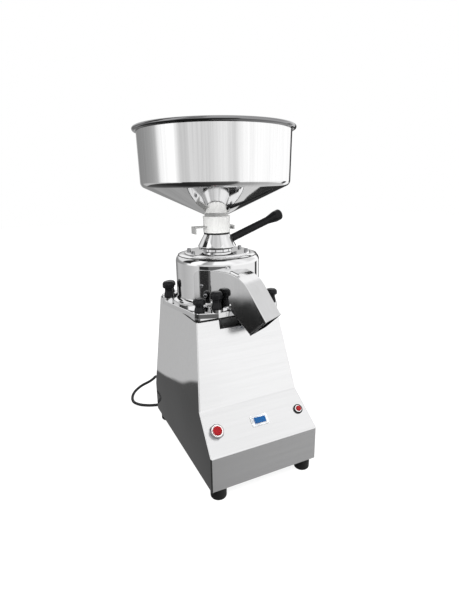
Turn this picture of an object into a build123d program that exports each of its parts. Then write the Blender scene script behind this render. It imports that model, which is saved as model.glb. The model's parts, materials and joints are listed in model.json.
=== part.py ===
from build123d import *

import os
from math import asin, atan2, cos, degrees, dist, radians, sin, tan

# Domestic flour mill: a tapered steel cabinet with a vertical motor, a grinding head with two
# stones on top of it, a curved discharge spout and a lift-off grain hopper.
# Millimetres, +Z up, front towards -Y. Pieces are drawn about the grinding axis and are moved
# to the part's origin, the middle of its footprint on the floor, when they are written.

os.makedirs("parts", exist_ok=True)

# Cabinet
sheet = 1.5
foot_height = 25.0
foot_top_radius = 16.5
foot_bottom_radius = 16.0
foot_corner = 4.0
foot_side_inset = 21.5
foot_end_inset = 18.0
base_width = 239.0
plinth_height = 75.0
plinth_reach = 216.0
crease_height = 134.5
crease_reach = 147.0
cabinet_height = 303.5
top_width = 185.0
top_reach = 100.0
top_back = 127.0
base_back = 140.0
return_flange = 13.0
bend_radius = 3.0
notch_width = 90.0
notch_depth = 19.5
floor_clearance = 0.3

# Rear cover and bottom plate
cover_sheet = 1.2
cover_margin = 5.0
louvre_length = 110.0
louvre_height = 5.0
louvre_pitch = 13.0
louvre_count = 7
bottom_hole_radius = 8.0
screw_radius = 2.0
screw_head_radius = 4.0
screw_head_height = 2.4

# Controls on the sloping panel, by place across it and distance down from the crease
button_edge_gap = 27.5
button_x = button_edge_gap - base_width / 2
switch_x = 3.0
reset_case_length = 30.0
reset_case_width = 16.0
reset_edge_gap = 23.5
reset_x = base_width / 2 - reset_edge_gap
control_drop = 45.0
bezel_radius = 15.0
bezel_height = 9.0
button_radius = 9.0
button_proud = 3.0
button_travel = 3.0
button_body_radius = 10.9
button_body_depth = 34.0
switch_width = 37.0
switch_height = 21.0
switch_rim = 3.0
switch_frame_height = 3.0
switch_tilt = 9.0
switch_body_depth = 24.0
reset_bezel_radius = 10.0
reset_bezel_height = 3.5
reset_button_radius = 5.6
reset_proud = 3.0
reset_body_depth = 28.0

# Grinding head
top_plate_thickness = 7.5
top_plate_overhang = 2.0
top_plate_lip = 4.2
top_plate_step = 2.2
top_plate_corner = 10.0
base_flange_thickness = 10.0
flange_radius = 104.0
foot_ring_thickness = 6.0
lug_radius = 13.0
lug_polar = ((110.0, 75.0), (109.0, 163.0), (114.3, 244.0))
corner_knob_x = 82.0
corner_knob_y = 91.0
drum_radius = 90.5
drum_wall = 4.0
drum_flare = 7.5
drum_height = 100.0
shoulder_radius = 15.0
shoulder_groove = 0.7
shoulder_groove_angle = 36.0
ledge_radius = 54.0
ledge_thickness = 6.0
cover_radius = 71.5
cover_thickness = 7.5
cover_boss_radius = 31.0
cover_boss_height = 6.0
cover_boss_depth = 10.0
gasket_thickness = 1.0
cover_bolt_circle = 62.5
cover_bolt_count = 8
running_fit = 0.05

# Stones
stone_radius = 75.0
stone_thickness = 20.0
stone_gap = 1.0
stone_floor_height = 14.0
carrier_thickness = 6.0
stone_eye_radius = 20.0
stem_radius = 20.0
stem_bore = 15.0
stem_height = 52.0
stone_nut_radius = 11.0
stone_nut_height = 9.0
guide_pin_radius = 3.0
guide_pin_circle = 44.0
guide_pin_lift = 1.6
sweeper_reach = 83.0
sweeper_width = 12.0

# Adjusting hub and lever
hub_base_radius = 41.0
hub_top_radius = 25.5
hub_cone_height = 30.0
hub_foot_height = 3.5
hub_neck_radius = 24.0
hub_neck_depth = 28.0
ring_groove_depth = 1.6
retaining_ring_radius = 29.0
retaining_ring_thickness = 2.0
lever_height = 14.5
lever_rise = 20.5
lever_rod_radius = 4.0
lever_root = 27.5
grip_start = 38.0
grip_length = 132.5
grip_radius = 7.5
grip_end_radius = 11.3
grip_wall_at_end = 12.0

# Hopper, collar and feed gate
collar_radius = 28.7
collar_height = 35.0
collar_spigot_depth = 10.0
feed_bore = 10.5
gate_height = 11.0
gate_thickness = 3.0
gate_width = 22.0
gate_slot_clearance = 0.3
gate_handle_reach = 53.5
gate_handle_drop = 15.0
gate_stop_reach = 37.5
gate_stop_drop = 9.0
gate_lip = 3.0
neck_radius = 24.0
neck_depth = 14.0
neck_rise = 1.5
hopper_sheet = 1.2
hopper_cone_height = 68.0
hopper_base_radius = 153.5
hopper_top_radius = 155.4
hopper_wall_height = 101.0
hopper_corner = 8.0
rim_bead_radius = 4.2

# Discharge spout: it leaves the drum to one side of its middle
spout_angle = -60.0
spout_offset = -51.0
spout_width = 60.0
spout_sheet = 1.5
spout_top = 77.8
spout_flat = 72.0
spout_curve = 71.7
spout_fall = 56.3
spout_reach = 168.4
spout_floor = 4.5
spout_floor_flat = 84.0
spout_floor_fall = 43.4
spout_floor_reach = 133.7
spout_start = 30.0
spout_clearance = 1.0
spout_tab_arc = 22.7
spout_tab_corner = 15.0
spout_tab_lap = 1.2
spout_screw_places = ((-135.4, 45.5), (-130.6, 26.0))

# Knobs
tall_knob_height = 35.0
short_knob_height = 28.0
knob_head_radius = 12.8
knob_waist_radius = 8.5
knob_base_radius = 10.5
stud_radius = 4.0

# Motor
motor_radius = 62.0
motor_length = 120.0
motor_wall = 3.0
end_shield_depth = 30.0
shield_radius = 66.0
shaft_radius = 10.0
bearing_radius = 23.5
bearing_width = 14.0
core_inner = 38.6
core_length = 80.0
rotor_radius = 38.0
winding_length = 16.0
fan_radius = 54.0
fan_depth = 18.0
fan_blades = 9
fan_cover_depth = 26.0
motor_bolt_circle = 56.0
capacitor_radius = 20.0
capacitor_length = 90.0

# Mains lead
cord_radius = 3.75
gland_x = -100.0
gland_height = 90.0
gland_radius = 9.0
gland_reach = 19.0
relief_length = 26.0
coil_x = 10.0
coil_y = 220.0
coil_middle_radius = 44.0
coil_columns = 3
coil_layers = 2
coil_corner = 3.0
plug_length = 44.0
plug_width = 38.0
plug_depth = 27.0
plug_gap = 14.0
plug_neck = 12.0
plug_corner = 5.0
pin_places = ((-9.5, -4.0, 2.5, 15.0), (9.5, -4.0, 2.5, 15.0), (0.0, 7.0, 3.5, 19.0))

# Heights above the floor that follow from the sizes above
plinth_bottom = foot_height
plinth_top = foot_height + plinth_height
crease_z = foot_height + crease_height
cabinet_top = foot_height + cabinet_height
top_plate_top = cabinet_top + top_plate_thickness
chamber_floor = top_plate_top + base_flange_thickness
foot_ring_top = chamber_floor + foot_ring_thickness
drum_top = chamber_floor + drum_height
cover_seat = drum_top - cover_thickness + 2.5
cover_top = cover_seat + gasket_thickness + cover_thickness
boss_top = cover_top + cover_boss_height
boss_bottom = cover_seat - cover_boss_depth + gasket_thickness
hub_foot = boss_top
hub_cone_base = hub_foot + hub_foot_height
hub_top = hub_cone_base + hub_cone_height
lower_carrier_top = chamber_floor + stone_floor_height + carrier_thickness
lower_stone_top = lower_carrier_top + stone_thickness
upper_stone_bottom = lower_stone_top + stone_gap
upper_stone_top = upper_stone_bottom + stone_thickness
upper_carrier_top = upper_stone_top + carrier_thickness
collar_top = hub_top + collar_height
cone_bottom = collar_top
rim_radius = hopper_top_radius - hopper_sheet / 2 + rim_bead_radius
motor_top = cabinet_top
motor_bottom = motor_top - 2 * end_shield_depth - motor_length
shaft_bottom = motor_bottom - fan_cover_depth + 6.0

# Place of the grinding axis in the part's own frame
axis_y = (plinth_reach - rim_radius - rim_bead_radius) / 2


def rod(radius, low, high, x=0.0, y=0.0):
    """Upright solid cylinder between two heights."""
    return Pos(x, y, low) * Cylinder(radius, high - low, align=(Align.CENTER, Align.CENTER, Align.MIN))


def ring(outer, inner, low, high, x=0.0, y=0.0):
    """Upright tube between two heights."""
    return rod(outer, low, high, x, y) - rod(inner, low - 1, high + 1, x, y)


def block(x0, x1, y0, y1, z0, z1):
    """Box between two corners."""
    return Pos((x0 + x1) / 2, (y0 + y1) / 2, (z0 + z1) / 2) * Box(x1 - x0, y1 - y0, z1 - z0)


def turned(points, radii=None):
    """Solid turned about the grinding axis from a closed outline of (radius, height) points."""
    corner_radii = radii or [0] * len(points)
    outline = FilletPolyline(*points, radius=corner_radii, close=True)
    return revolve(Plane.XZ * make_face(outline), axis=Axis.Z)


def polar(radius, angle):
    """Point in plan at a radius and an angle in degrees."""
    return radius * cos(radians(angle)), radius * sin(radians(angle))


def around(angles, radius):
    """Places in plan on one circle."""
    return [polar(radius, angle) for angle in angles]


def joined(pieces):
    """Several solids as one group."""
    return Compound([solid for piece in pieces for solid in piece.solids()])


def save(name, piece):
    """Moves a piece to the part's frame and writes it."""
    placed = Pos(0, axis_y, 0) * piece
    export_step(placed, f"parts/{name}.step")


# Cabinet

def side_outline(inset):
    """Side view of the cabinet, pulled in by an inset: front, crease, top and back."""
    points = [
        (-plinth_reach, plinth_bottom),
        (-plinth_reach, plinth_top),
        (-crease_reach, crease_z),
        (-top_reach, cabinet_top),
        (top_back, cabinet_top),
        (base_back, plinth_bottom),
    ]
    outline = Plane.YZ * make_face(Polyline(*points, close=True))
    return offset(outline, -inset, kind=Kind.INTERSECTION) if inset else outline


def front_outline(inset):
    """Front view of the cabinet: an upright plinth under tapering sides."""
    half_base = base_width / 2
    half_top = top_width / 2
    points = [
        (-half_base, plinth_bottom),
        (-half_base, plinth_top),
        (-half_top, cabinet_top),
        (half_top, cabinet_top),
        (half_base, plinth_top),
        (half_base, plinth_bottom),
    ]
    outline = Plane.XZ * make_face(Polyline(*points, close=True))
    return offset(outline, -inset, kind=Kind.INTERSECTION) if inset else outline


def cabinet_block(inset):
    """Solid with the cabinet's outer form, pulled in by an inset on every face."""
    span = 2 * plinth_reach
    along_x = Pos(-span, 0, 0) * extrude(side_outline(inset), amount=2 * span, dir=(1, 0, 0))
    along_y = Pos(0, -span, 0) * extrude(front_outline(inset), amount=2 * span, dir=(0, 1, 0))
    return along_x & along_y


def front_corner_edges(solid):
    """Long slanting edges between the front faces and the sides."""
    limit = -top_reach + 1
    return [
        edge
        for edge in solid.edges()
        if abs(edge.center().X) > top_width / 2 - 2 * bend_radius
        and max(vertex.Y for vertex in edge.vertices()) < limit + bend_radius
        and abs(edge.tangent_at(0).Z) > 0.3
    ]


panel_angle = atan2(crease_z - plinth_top, plinth_reach - crease_reach)
panel_plane = Plane(
    origin=(0, -crease_reach, crease_z),
    x_dir=(1, 0, 0),
    z_dir=(0, -sin(panel_angle), cos(panel_angle)),
)


def on_panel(x, piece, depth=0.0):
    """Puts a piece drawn on the XY plane onto the control panel."""
    return panel_plane * Pos(x, -control_drop, depth) * piece


def panel_cut(x, sketch):
    """Hole through the control panel."""
    return panel_plane * Pos(x, -control_drop, -4 * sheet) * extrude(sketch, amount=8 * sheet)


def housing_shell():
    outer = cabinet_block(0)
    outer = fillet(front_corner_edges(outer), bend_radius)
    inner = cabinet_block(sheet)
    inner = fillet(front_corner_edges(inner), bend_radius - sheet)
    shell = outer - inner
    half_base = base_width / 2 - return_flange
    half_top = top_width / 2 - return_flange
    shell -= block(-half_base, half_base, -plinth_reach + return_flange, base_back - return_flange,
                   plinth_bottom - 1, plinth_bottom + 2 * sheet)
    shell -= block(-half_top, half_top, -top_reach + return_flange, top_back - return_flange,
                   cabinet_top - 2 * sheet, cabinet_top + 1)
    shell -= rear_opening()
    shell -= block(-notch_width / 2, notch_width / 2, -crease_reach, -top_reach + return_flange + 1,
                   cabinet_top - notch_depth, cabinet_top + 1)
    shell -= panel_cut(button_x, Circle(button_body_radius + 0.1))
    shell -= panel_cut(switch_x, Rectangle(switch_width - 2 * switch_rim, switch_height - 2 * switch_rim))
    shell -= panel_cut(reset_x, Circle(reset_bezel_radius - 2.5))
    for x, z in rear_screw_places():
        shell -= rear_hole(x, z)
    for x, y in foot_places():
        shell -= rod(screw_radius + 0.3, plinth_bottom - 1, plinth_bottom + 3 * sheet, x, y)
    shell -= gland_hole()
    return shell


# Rear wall of the cabinet: a plane that leans in towards the top

rear_angle = atan2(base_back - top_back, cabinet_height)
rear_plane = Plane(
    origin=(0, base_back, plinth_bottom),
    x_dir=(-1, 0, 0),
    z_dir=(0, cos(rear_angle), sin(rear_angle)),
)


def rear_half_width(height):
    """Half width of the cabinet at a height above the plinth's bottom."""
    if height < plinth_height:
        return base_width / 2
    share = (height - plinth_height) / (cabinet_height - plinth_height)
    return base_width / 2 + share * (top_width - base_width) / 2


def rear_sketch(margin):
    """Outline on the rear wall, a margin in from its edges."""
    low = margin
    high = cabinet_height - margin
    points = [
        (-rear_half_width(low) + margin, low),
        (-rear_half_width(plinth_height) + margin, plinth_height),
        (-rear_half_width(high) + margin, high),
        (rear_half_width(high) - margin, high),
        (rear_half_width(plinth_height) - margin, plinth_height),
        (rear_half_width(low) - margin, low),
    ]
    return make_face(Polyline(*points, close=True))


def rear_opening():
    """Opening in the rear wall inside its return flange; the left lower corner stays closed."""
    opening = rear_plane * Pos(0, 0, -3 * sheet) * extrude(rear_sketch(return_flange), amount=6 * sheet)
    return opening - gland_land(6 * sheet)


def gland_land(depth):
    """Block of the rear wall that stays closed round the cable gland."""
    low = gland_height - gland_radius - 6
    return block(-base_width, gland_x + gland_radius + 6, base_back - depth - 6, base_back + depth,
                 plinth_bottom - 1, low + 2 * gland_radius + 12)


def gland_hole():
    return Pos(gland_x, base_back, gland_height) * Rot(90, 0, 0) * Cylinder(gland_radius - 3, 40)


def rear_screw_places():
    """Screws of the rear cover, as (x, height above the plinth's bottom)."""
    margin = return_flange / 2 + 1
    low = margin + 2
    high = cabinet_height - margin - 1
    middle = cabinet_height / 2 + 30
    upper = rear_half_width(high) - margin
    centre = rear_half_width(middle) - margin
    lower = rear_half_width(low) - margin
    return [(s * x, z) for x, z in ((lower, low), (centre, middle), (upper, high)) for s in (-1, 1)]


def rear_hole(x, z):
    return rear_plane * Pos(-x, z, -5) * Cylinder(screw_radius + 0.2, 30)


def rear_cover():
    plate = rear_plane * extrude(rear_sketch(cover_margin), amount=cover_sheet)
    plate = plate - gland_land(20)
    for row in range(louvre_count):
        height = cabinet_height * 0.48 + row * louvre_pitch
        slot = Pos(0, height, -5) * extrude(SlotOverall(louvre_length, louvre_height), amount=20)
        plate -= rear_plane * slot
        hood = Pos(0, height + louvre_height / 2, cover_sheet) * louvre_hood()
        plate += rear_plane * hood
    for x, z in rear_screw_places():
        plate -= rear_hole(x, z)
    return plate


def louvre_hood():
    """Pressed hood over a louvre slot, open below."""
    reach = louvre_height
    points = [(0, 1.0), (reach - 1, -louvre_height / 2), (reach - 1, -louvre_height / 2 - 1.0),
              (reach - 2, -louvre_height / 2 - 1.0), (0, -0.8)]
    face = Plane.YZ * make_face(Polyline(*[(b, a) for a, b in points], close=True))
    return Pos(-louvre_length / 2, 0, 0) * extrude(face, amount=louvre_length, dir=(1, 0, 0))


def bottom_plate():
    inset = sheet + floor_clearance
    low = plinth_bottom + sheet
    plate = block(-base_width / 2 + inset, base_width / 2 - inset, -plinth_reach + inset,
                  base_back - inset - sheet, low, low + sheet)
    plate = chamfer(plate.edges().filter_by(Axis.Z), 2 * sheet)
    for column in range(-3, 4):
        for row in range(-2, 3):
            plate -= rod(bottom_hole_radius / 2, low - 1, low + 3, column * 16, row * 16)
    for x, y in foot_places():
        plate -= rod(screw_radius + 0.3, low - 1, low + 3, x, y)
    return plate


def foot_places():
    x = base_width / 2 - foot_side_inset
    ends = (-plinth_reach + foot_end_inset, base_back - foot_end_inset)
    return [(side * x, y) for y in ends for side in (-1, 1)]


def rubber_feet():
    feet = []
    for x, y in foot_places():
        foot = Pos(x, y, 0) * turned(
            [(0, 0), (foot_bottom_radius, 0), (foot_top_radius, foot_height), (0, foot_height)],
            [0, foot_corner, 0, 0],
        )
        foot -= rod(screw_head_radius + 1, -1, 6, x, y)
        foot -= rod(screw_radius + 0.2, 0, foot_height + 1, x, y)
        feet.append(foot)
    return joined(feet)


def housing_screws():
    screws = []
    for x, z in rear_screw_places():
        head = Pos(-x, z, cover_sheet) * Cylinder(
            screw_head_radius, screw_head_height, align=(Align.CENTER, Align.CENTER, Align.MIN))
        shank = Pos(-x, z, -8) * Cylinder(
            screw_radius, 8 + cover_sheet, align=(Align.CENTER, Align.CENTER, Align.MIN))
        screws.append(rear_plane * (head + shank))
    for x, y in foot_places():
        head = rod(screw_head_radius, 6 - screw_head_height, 6, x, y)
        shank = rod(screw_radius, 6, plinth_bottom + 3 * sheet + 4, x, y)
        nut = rod(screw_head_radius, plinth_bottom + 2 * sheet, plinth_bottom + 2 * sheet + 3, x, y)
        screws.append(head + shank + nut)
    return joined(screws)


# Controls

def button_bezel():
    """Faceted metal ring in front of the panel with its threaded body and contact block behind."""
    facets = extrude(RegularPolygon(bezel_radius, 8, major_radius=True), amount=bezel_height * 0.6)
    collar = Pos(0, 0, bezel_height * 0.6) * Cylinder(
        bezel_radius - 2.2, bezel_height * 0.4, align=(Align.CENTER, Align.CENTER, Align.MIN))
    body = Pos(0, 0, -button_body_depth) * Cylinder(
        button_body_radius, button_body_depth, align=(Align.CENTER, Align.CENTER, Align.MIN))
    contact = Pos(0, 0, -button_body_depth - 7) * Box(24, 24, 14)
    whole = facets + collar + body + contact
    well = button_travel + 8.0
    whole -= Pos(0, 0, bezel_height - well) * Cylinder(
        button_radius + running_fit, well + 1, align=(Align.CENTER, Align.CENTER, Align.MIN))
    return on_panel(button_x, whole)


def push_button():
    cap = Pos(0, 0, bezel_height - 8.0) * Cylinder(
        button_radius, 8.0 + button_proud, align=(Align.CENTER, Align.CENTER, Align.MIN))
    cap = fillet(cap.edges().sort_by(Axis.Z)[-1], 2.0)
    return on_panel(button_x, cap)


def switch_body():
    rim = extrude(Rectangle(switch_width, switch_height), amount=switch_frame_height)
    rim = fillet(rim.edges().filter_by(Axis.Z), 2.0)
    rim = chamfer(rim.faces().sort_by(Axis.Z)[-1].edges(), 0.8)
    inner_x = switch_width - 2 * switch_rim
    inner_y = switch_height - 2 * switch_rim
    body = Pos(0, 0, -switch_body_depth) * extrude(
        Rectangle(inner_x - 0.4, inner_y - 0.4), amount=switch_body_depth)
    whole = rim + body
    pocket = Pos(0, 0, -9) * extrude(Rectangle(inner_x - 2.4, inner_y - 2.4), amount=20)
    whole -= pocket
    axle = Rot(90, 0, 0) * Cylinder(1.5, inner_y - 1)
    whole += axle
    return on_panel(switch_x, whole)


def switch_rocker():
    """Paddle that rocks on a cross axle, lying at its off end."""
    half = (switch_width - 2 * switch_rim - 2.4) / 2 - 0.6
    width = switch_height - 2 * switch_rim - 2.4 - 0.8
    crown = 4.6
    points = [(-half, crown + 0.4), (0, crown - 1.0), (half, crown + 0.4), (half * 0.86, -1.5),
              (3, -4.2), (-3, -4.2), (-half * 0.86, -1.5)]
    face = Plane.XZ * make_face(Polyline(*points, close=True))
    paddle = Pos(0, -width / 2, 0) * extrude(face, amount=width, dir=(0, 1, 0))
    paddle -= Rot(90, 0, 0) * Cylinder(1.5 + running_fit, width + 2)
    return on_panel(switch_x, Rot(0, switch_tilt, 0) * paddle)


def reset_body():
    bezel = Cylinder(reset_bezel_radius, reset_bezel_height, align=(Align.CENTER, Align.CENTER, Align.MIN))
    bezel = chamfer(bezel.edges().sort_by(Axis.Z)[-1], 0.8)
    body = Pos(0, 0, -reset_body_depth) * Cylinder(
        reset_bezel_radius - 2.6, reset_body_depth, align=(Align.CENTER, Align.CENTER, Align.MIN))
    whole = bezel + body + Pos(0, 0, -reset_body_depth) * Box(reset_case_length, reset_case_width, reset_case_width)
    whole -= Pos(0, 0, reset_bezel_height - 9) * Cylinder(
        reset_button_radius + running_fit, 12, align=(Align.CENTER, Align.CENTER, Align.MIN))
    return on_panel(reset_x, whole)


def reset_button():
    pin = Pos(0, 0, reset_bezel_height - 5.5) * Cylinder(
        reset_button_radius, 5.5 + reset_proud, align=(Align.CENTER, Align.CENTER, Align.MIN))
    pin = fillet(pin.edges().sort_by(Axis.Z)[-1], 1.2)
    return on_panel(reset_x, pin)


# Grinding head

def corner_places():
    return [(-corner_knob_x, -corner_knob_y), (corner_knob_x, -corner_knob_y),
            (-corner_knob_x, corner_knob_y), (corner_knob_x, corner_knob_y)]


def lug_places():
    return [polar(radius, angle) for radius, angle in lug_polar]


def spout_frame(piece):
    """Turns a piece drawn with the flow along X to the spout's direction beside the axis."""
    return Rot(0, 0, spout_angle) * Pos(0, spout_offset, 0) * piece


def spout_outline(inset, overrun):
    """Side view of the chute: flat roof, curve, straight fall, slanting mouth and floor.

    The overrun carries it past its mouth and further into the drum.
    """
    fall = radians(spout_fall)
    floor_fall = radians(spout_floor_fall)
    roof = chamber_floor + spout_top
    floor = chamber_floor + spout_floor
    start = spout_start - overrun
    lip_reach = spout_reach + overrun * cos(fall)
    floor_reach = spout_floor_reach + overrun * cos(floor_fall)
    curve_start = (spout_flat, roof)
    curve_end = (spout_flat + spout_curve * sin(fall), roof - spout_curve * (1 - cos(fall)))
    lip = (lip_reach, curve_end[1] - (lip_reach - curve_end[0]) * tan(fall))
    heel = (floor_reach, floor - (floor_reach - spout_floor_flat) * tan(floor_fall))
    path = [
        Line((start, floor), (start, roof)),
        Line((start, roof), curve_start),
        ThreePointArc(curve_start, curve_middle(fall, roof), curve_end),
        Line(curve_end, lip),
        Line(lip, heel),
        Line(heel, (spout_floor_flat, floor)),
        Line((spout_floor_flat, floor), (start, floor)),
    ]
    face = make_face(path)
    return offset(face, -inset, kind=Kind.INTERSECTION) if inset else face


def curve_middle(fall, roof):
    """Point half way round the roof's curve."""
    half = fall / 2
    return spout_flat + spout_curve * sin(half), roof - spout_curve * (1 - cos(half))


def spout_solid(inset, overrun=0.0):
    """Chute as a filled solid, shrunk by an inset and made longer by an overrun."""
    width = spout_width - 2 * inset
    outline = Plane.XZ * spout_outline(inset, overrun)
    return Pos(0, -width / 2, 0) * extrude(outline, amount=width, dir=(0, 1, 0))


def spout_passage():
    """Space inside the chute, open at the drum and through its mouth."""
    return spout_frame(spout_solid(spout_sheet, 4 * spout_sheet))


def discharge_spout():
    chute = spout_frame(spout_solid(0)) - spout_passage()
    chute -= rod(drum_radius, chamber_floor - 5, drum_top)
    edge = spout_tab_angle()
    spout = chute + spout_tab(edge - spout_tab_arc, edge + spout_tab_lap)
    for angle, height in spout_screw_places:
        spout -= radial_hole(angle, chamber_floor + height)
    return spout


def spout_tab_angle():
    """Angle at which the chute's left side meets the drum."""
    return spout_angle + degrees(asin((spout_offset - spout_width / 2) / drum_radius))


def wedge(radius, start, end, low, high):
    """Pie slice about the grinding axis."""
    steps = 6
    points = [(0, 0)]
    for step in range(steps + 1):
        angle = start + (end - start) * step / steps
        points.append(polar(radius, angle))
    return Pos(0, 0, low) * extrude(make_face(Polyline(*points, close=True)), amount=high - low)


def spout_tab(start, end):
    """Curved strip of the spout that lies on the drum wall."""
    low = foot_ring_top + 12
    high = chamber_floor + spout_top
    strip = ring(drum_radius + spout_sheet, drum_radius, low, high)
    strip &= wedge(drum_radius * 1.4, start, end, low, high)
    corner = spout_tab_corner
    cut = block(drum_radius - 9, drum_radius + 9, -corner, corner, high - corner, high + corner)
    rounding = Pos(drum_radius, corner, high - corner) * Rot(0, 90, 0) * Cylinder(corner, 30)
    return strip - Rot(0, 0, start) * (cut - rounding)


def radial_hole(angle, height):
    x, y = polar(drum_radius, angle)
    return Pos(x, y, height) * Rot(0, 0, angle) * Rot(0, 90, 0) * Cylinder(screw_radius, 24)


def spout_screws():
    screws = []
    for angle, height in spout_screw_places:
        start = drum_radius + spout_sheet
        head = Pos(start, 0, 0) * Rot(0, 90, 0) * Cylinder(
            screw_head_radius, screw_head_height, align=(Align.CENTER, Align.CENTER, Align.MIN))
        head = fillet(head.edges().sort_by(Axis.X)[-1], screw_head_height * 0.8)
        shank = Pos(drum_radius - drum_wall, 0, 0) * Rot(0, 90, 0) * Cylinder(
            screw_radius, drum_wall + spout_sheet, align=(Align.CENTER, Align.CENTER, Align.MIN))
        screws.append(Rot(0, 0, angle) * Pos(0, 0, chamber_floor + height) * (head + shank))
    return joined(screws)


def spout_clearance_solid():
    """Space that the plates under the chute leave free."""
    grown = Pos(0, -spout_width / 2 - spout_clearance, 0) * extrude(
        Plane.XZ * spout_outline(0, 0), amount=spout_width + 2 * spout_clearance, dir=(0, 1, 0))
    lowered = Pos(-spout_clearance, 0, -spout_clearance) * grown
    return spout_frame(grown + lowered)


def top_plate_layer(inset, low, high):
    """Layer of the top plate with rounded corners, pulled in from the plate's rim."""
    reach = top_plate_overhang - inset
    half = top_width / 2 + reach
    layer = block(-half, half, -top_reach - reach, top_back + reach, low, high)
    return fillet(layer.edges().filter_by(Axis.Z), top_plate_corner - inset)


def top_plate():
    """Plate on the cabinet that carries the motor below and the head above, its rim stepped."""
    plate = top_plate_layer(0, top_plate_top - top_plate_lip, top_plate_top)
    plate = fillet(plate.faces().sort_by(Axis.Z)[-1].edges(), 0.8)
    plate += top_plate_layer(top_plate_step, cabinet_top, top_plate_top - top_plate_lip)
    plate -= rod(shaft_radius + 4, cabinet_top - 1, top_plate_top + 1)
    for x, y in corner_places():
        plate -= rod(stud_radius, cabinet_top - 1, top_plate_top + 1, x, y)
    for x, y in around((45, 135, 225, 315), motor_bolt_circle):
        plate -= rod(3.2, cabinet_top - 1, top_plate_top + 1, x, y)
        plate -= rod(6.2, top_plate_top - 5, top_plate_top + 1, x, y)
    plate -= spout_clearance_solid()
    return plate


def base_flange():
    """Cast plate under the chamber, with an ear for each knob."""
    circles = [Circle(flange_radius)]
    circles += [Pos(x, y) * Circle(lug_radius) for x, y in corner_places() + lug_places()]
    outline = make_hull([edge for circle in circles for edge in circle.edges()])
    plate = Pos(0, 0, top_plate_top) * extrude(outline, amount=base_flange_thickness)
    plate = chamfer(plate.faces().sort_by(Axis.Z)[-1].edges(), 1.0)
    plate -= rod(bearing_radius - 3.5, top_plate_top - 1, chamber_floor + 1)
    for x, y in corner_places() + lug_places():
        plate -= rod(stud_radius, top_plate_top - 1, chamber_floor + 1, x, y)
    plate -= spout_clearance_solid()
    return plate


def shaft_seal():
    return ring(bearing_radius - 3.5, shaft_radius + 0.4, top_plate_top + 1, chamber_floor + 2)


def chamber_drum():
    """Drum wall with a flared foot, a rounded shoulder and a ledge that carries the cover."""
    wall_inner = drum_radius - drum_wall
    points = [
        (wall_inner, chamber_floor),
        (flange_radius, chamber_floor),
        (flange_radius, foot_ring_top),
        (drum_radius, foot_ring_top),
        (drum_radius, drum_top),
        (cover_radius + 0.3, drum_top),
        (cover_radius + 0.3, cover_seat),
        (ledge_radius, cover_seat),
        (ledge_radius, cover_seat - ledge_thickness),
        (wall_inner, cover_seat - ledge_thickness),
    ]
    radii = [0, 0, 1.5, drum_flare, shoulder_radius, 0, 0, 1, 1, 8]
    drum = turned(points, radii) - shoulder_line()
    for x, y in lug_places():
        lug = rod(lug_radius, chamber_floor, foot_ring_top, x, y)
        web = block(-lug_radius, 0, -lug_radius, lug_radius, chamber_floor, foot_ring_top)
        angle = degrees(atan2(y, x))
        web = Pos(x, y, 0) * Rot(0, 0, angle) * web
        drum += lug + (web - rod(drum_radius, chamber_floor - 1, foot_ring_top + 1))
        drum -= rod(stud_radius, chamber_floor - 1, foot_ring_top + 1, x, y)
    drum -= spout_window()
    for angle, height in spout_screw_places:
        drum -= radial_hole(angle, chamber_floor + height)
    for x, y in around(cover_bolt_angles(), cover_bolt_circle):
        drum -= rod(2.5, cover_seat - ledge_thickness - 1, cover_seat + 1, x, y)
    return drum


def shoulder_line():
    """Fine groove round the drum's shoulder."""
    angle = radians(shoulder_groove_angle)
    radius = drum_radius - shoulder_radius * (1 - sin(angle))
    height = drum_top - shoulder_radius * (1 - cos(angle))
    return Pos(0, 0, height) * Torus(radius, shoulder_groove)


def spout_window():
    """Opening in the drum wall and foot that the chute stands in."""
    grown = spout_clearance_solid()
    wall_zone = rod(drum_radius, chamber_floor + spout_floor - 1, drum_top - shoulder_radius)
    passage = spout_passage()
    outside = grown - rod(drum_radius, chamber_floor - 1, drum_top)
    return (passage & wall_zone) + outside


def cover_bolt_angles():
    return [12 + 360 / cover_bolt_count * index for index in range(cover_bolt_count)]


def chamber_gasket():
    gasket = ring(cover_radius, ledge_radius, cover_seat, cover_seat + gasket_thickness)
    for x, y in around(cover_bolt_angles(), cover_bolt_circle):
        gasket -= rod(2.6, cover_seat - 1, cover_seat + 3, x, y)
    return gasket


def chamber_cover():
    low = cover_seat + gasket_thickness
    neck = hub_neck_radius + running_fit
    points = [
        (neck, boss_bottom),
        (cover_boss_radius, boss_bottom),
        (cover_boss_radius, low),
        (cover_radius, low),
        (cover_radius, cover_top),
        (cover_boss_radius, cover_top),
        (cover_boss_radius, boss_top),
        (neck, boss_top),
    ]
    cover = turned(points, [0, 1, 0, 0, 2.5, 1.5, 0, 0])
    for x, y in around(cover_bolt_angles(), cover_bolt_circle):
        cover -= rod(2.6, low - 1, cover_top + 1, x, y)
    for x, y in guide_pin_places():
        cover -= rod(guide_pin_radius, low - 1, cover_top - 2, x, y)
    return cover


def guide_pin_places():
    return around((30, 210), guide_pin_circle)


def cover_bolts():
    bolts = []
    for x, y in around(cover_bolt_angles(), cover_bolt_circle):
        head = rod(4.2, cover_top, cover_top + 4.5, x, y)
        head -= Pos(x, y, cover_top + 2) * extrude(RegularPolygon(2.3, 6), amount=4)
        bolts.append(head + rod(2.5, cover_seat - ledge_thickness, cover_top, x, y))
    return joined(bolts)


def guide_pins():
    low = upper_stone_top + guide_pin_lift
    return joined([rod(guide_pin_radius, low, cover_top - 2, x, y) for x, y in guide_pin_places()])


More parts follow.
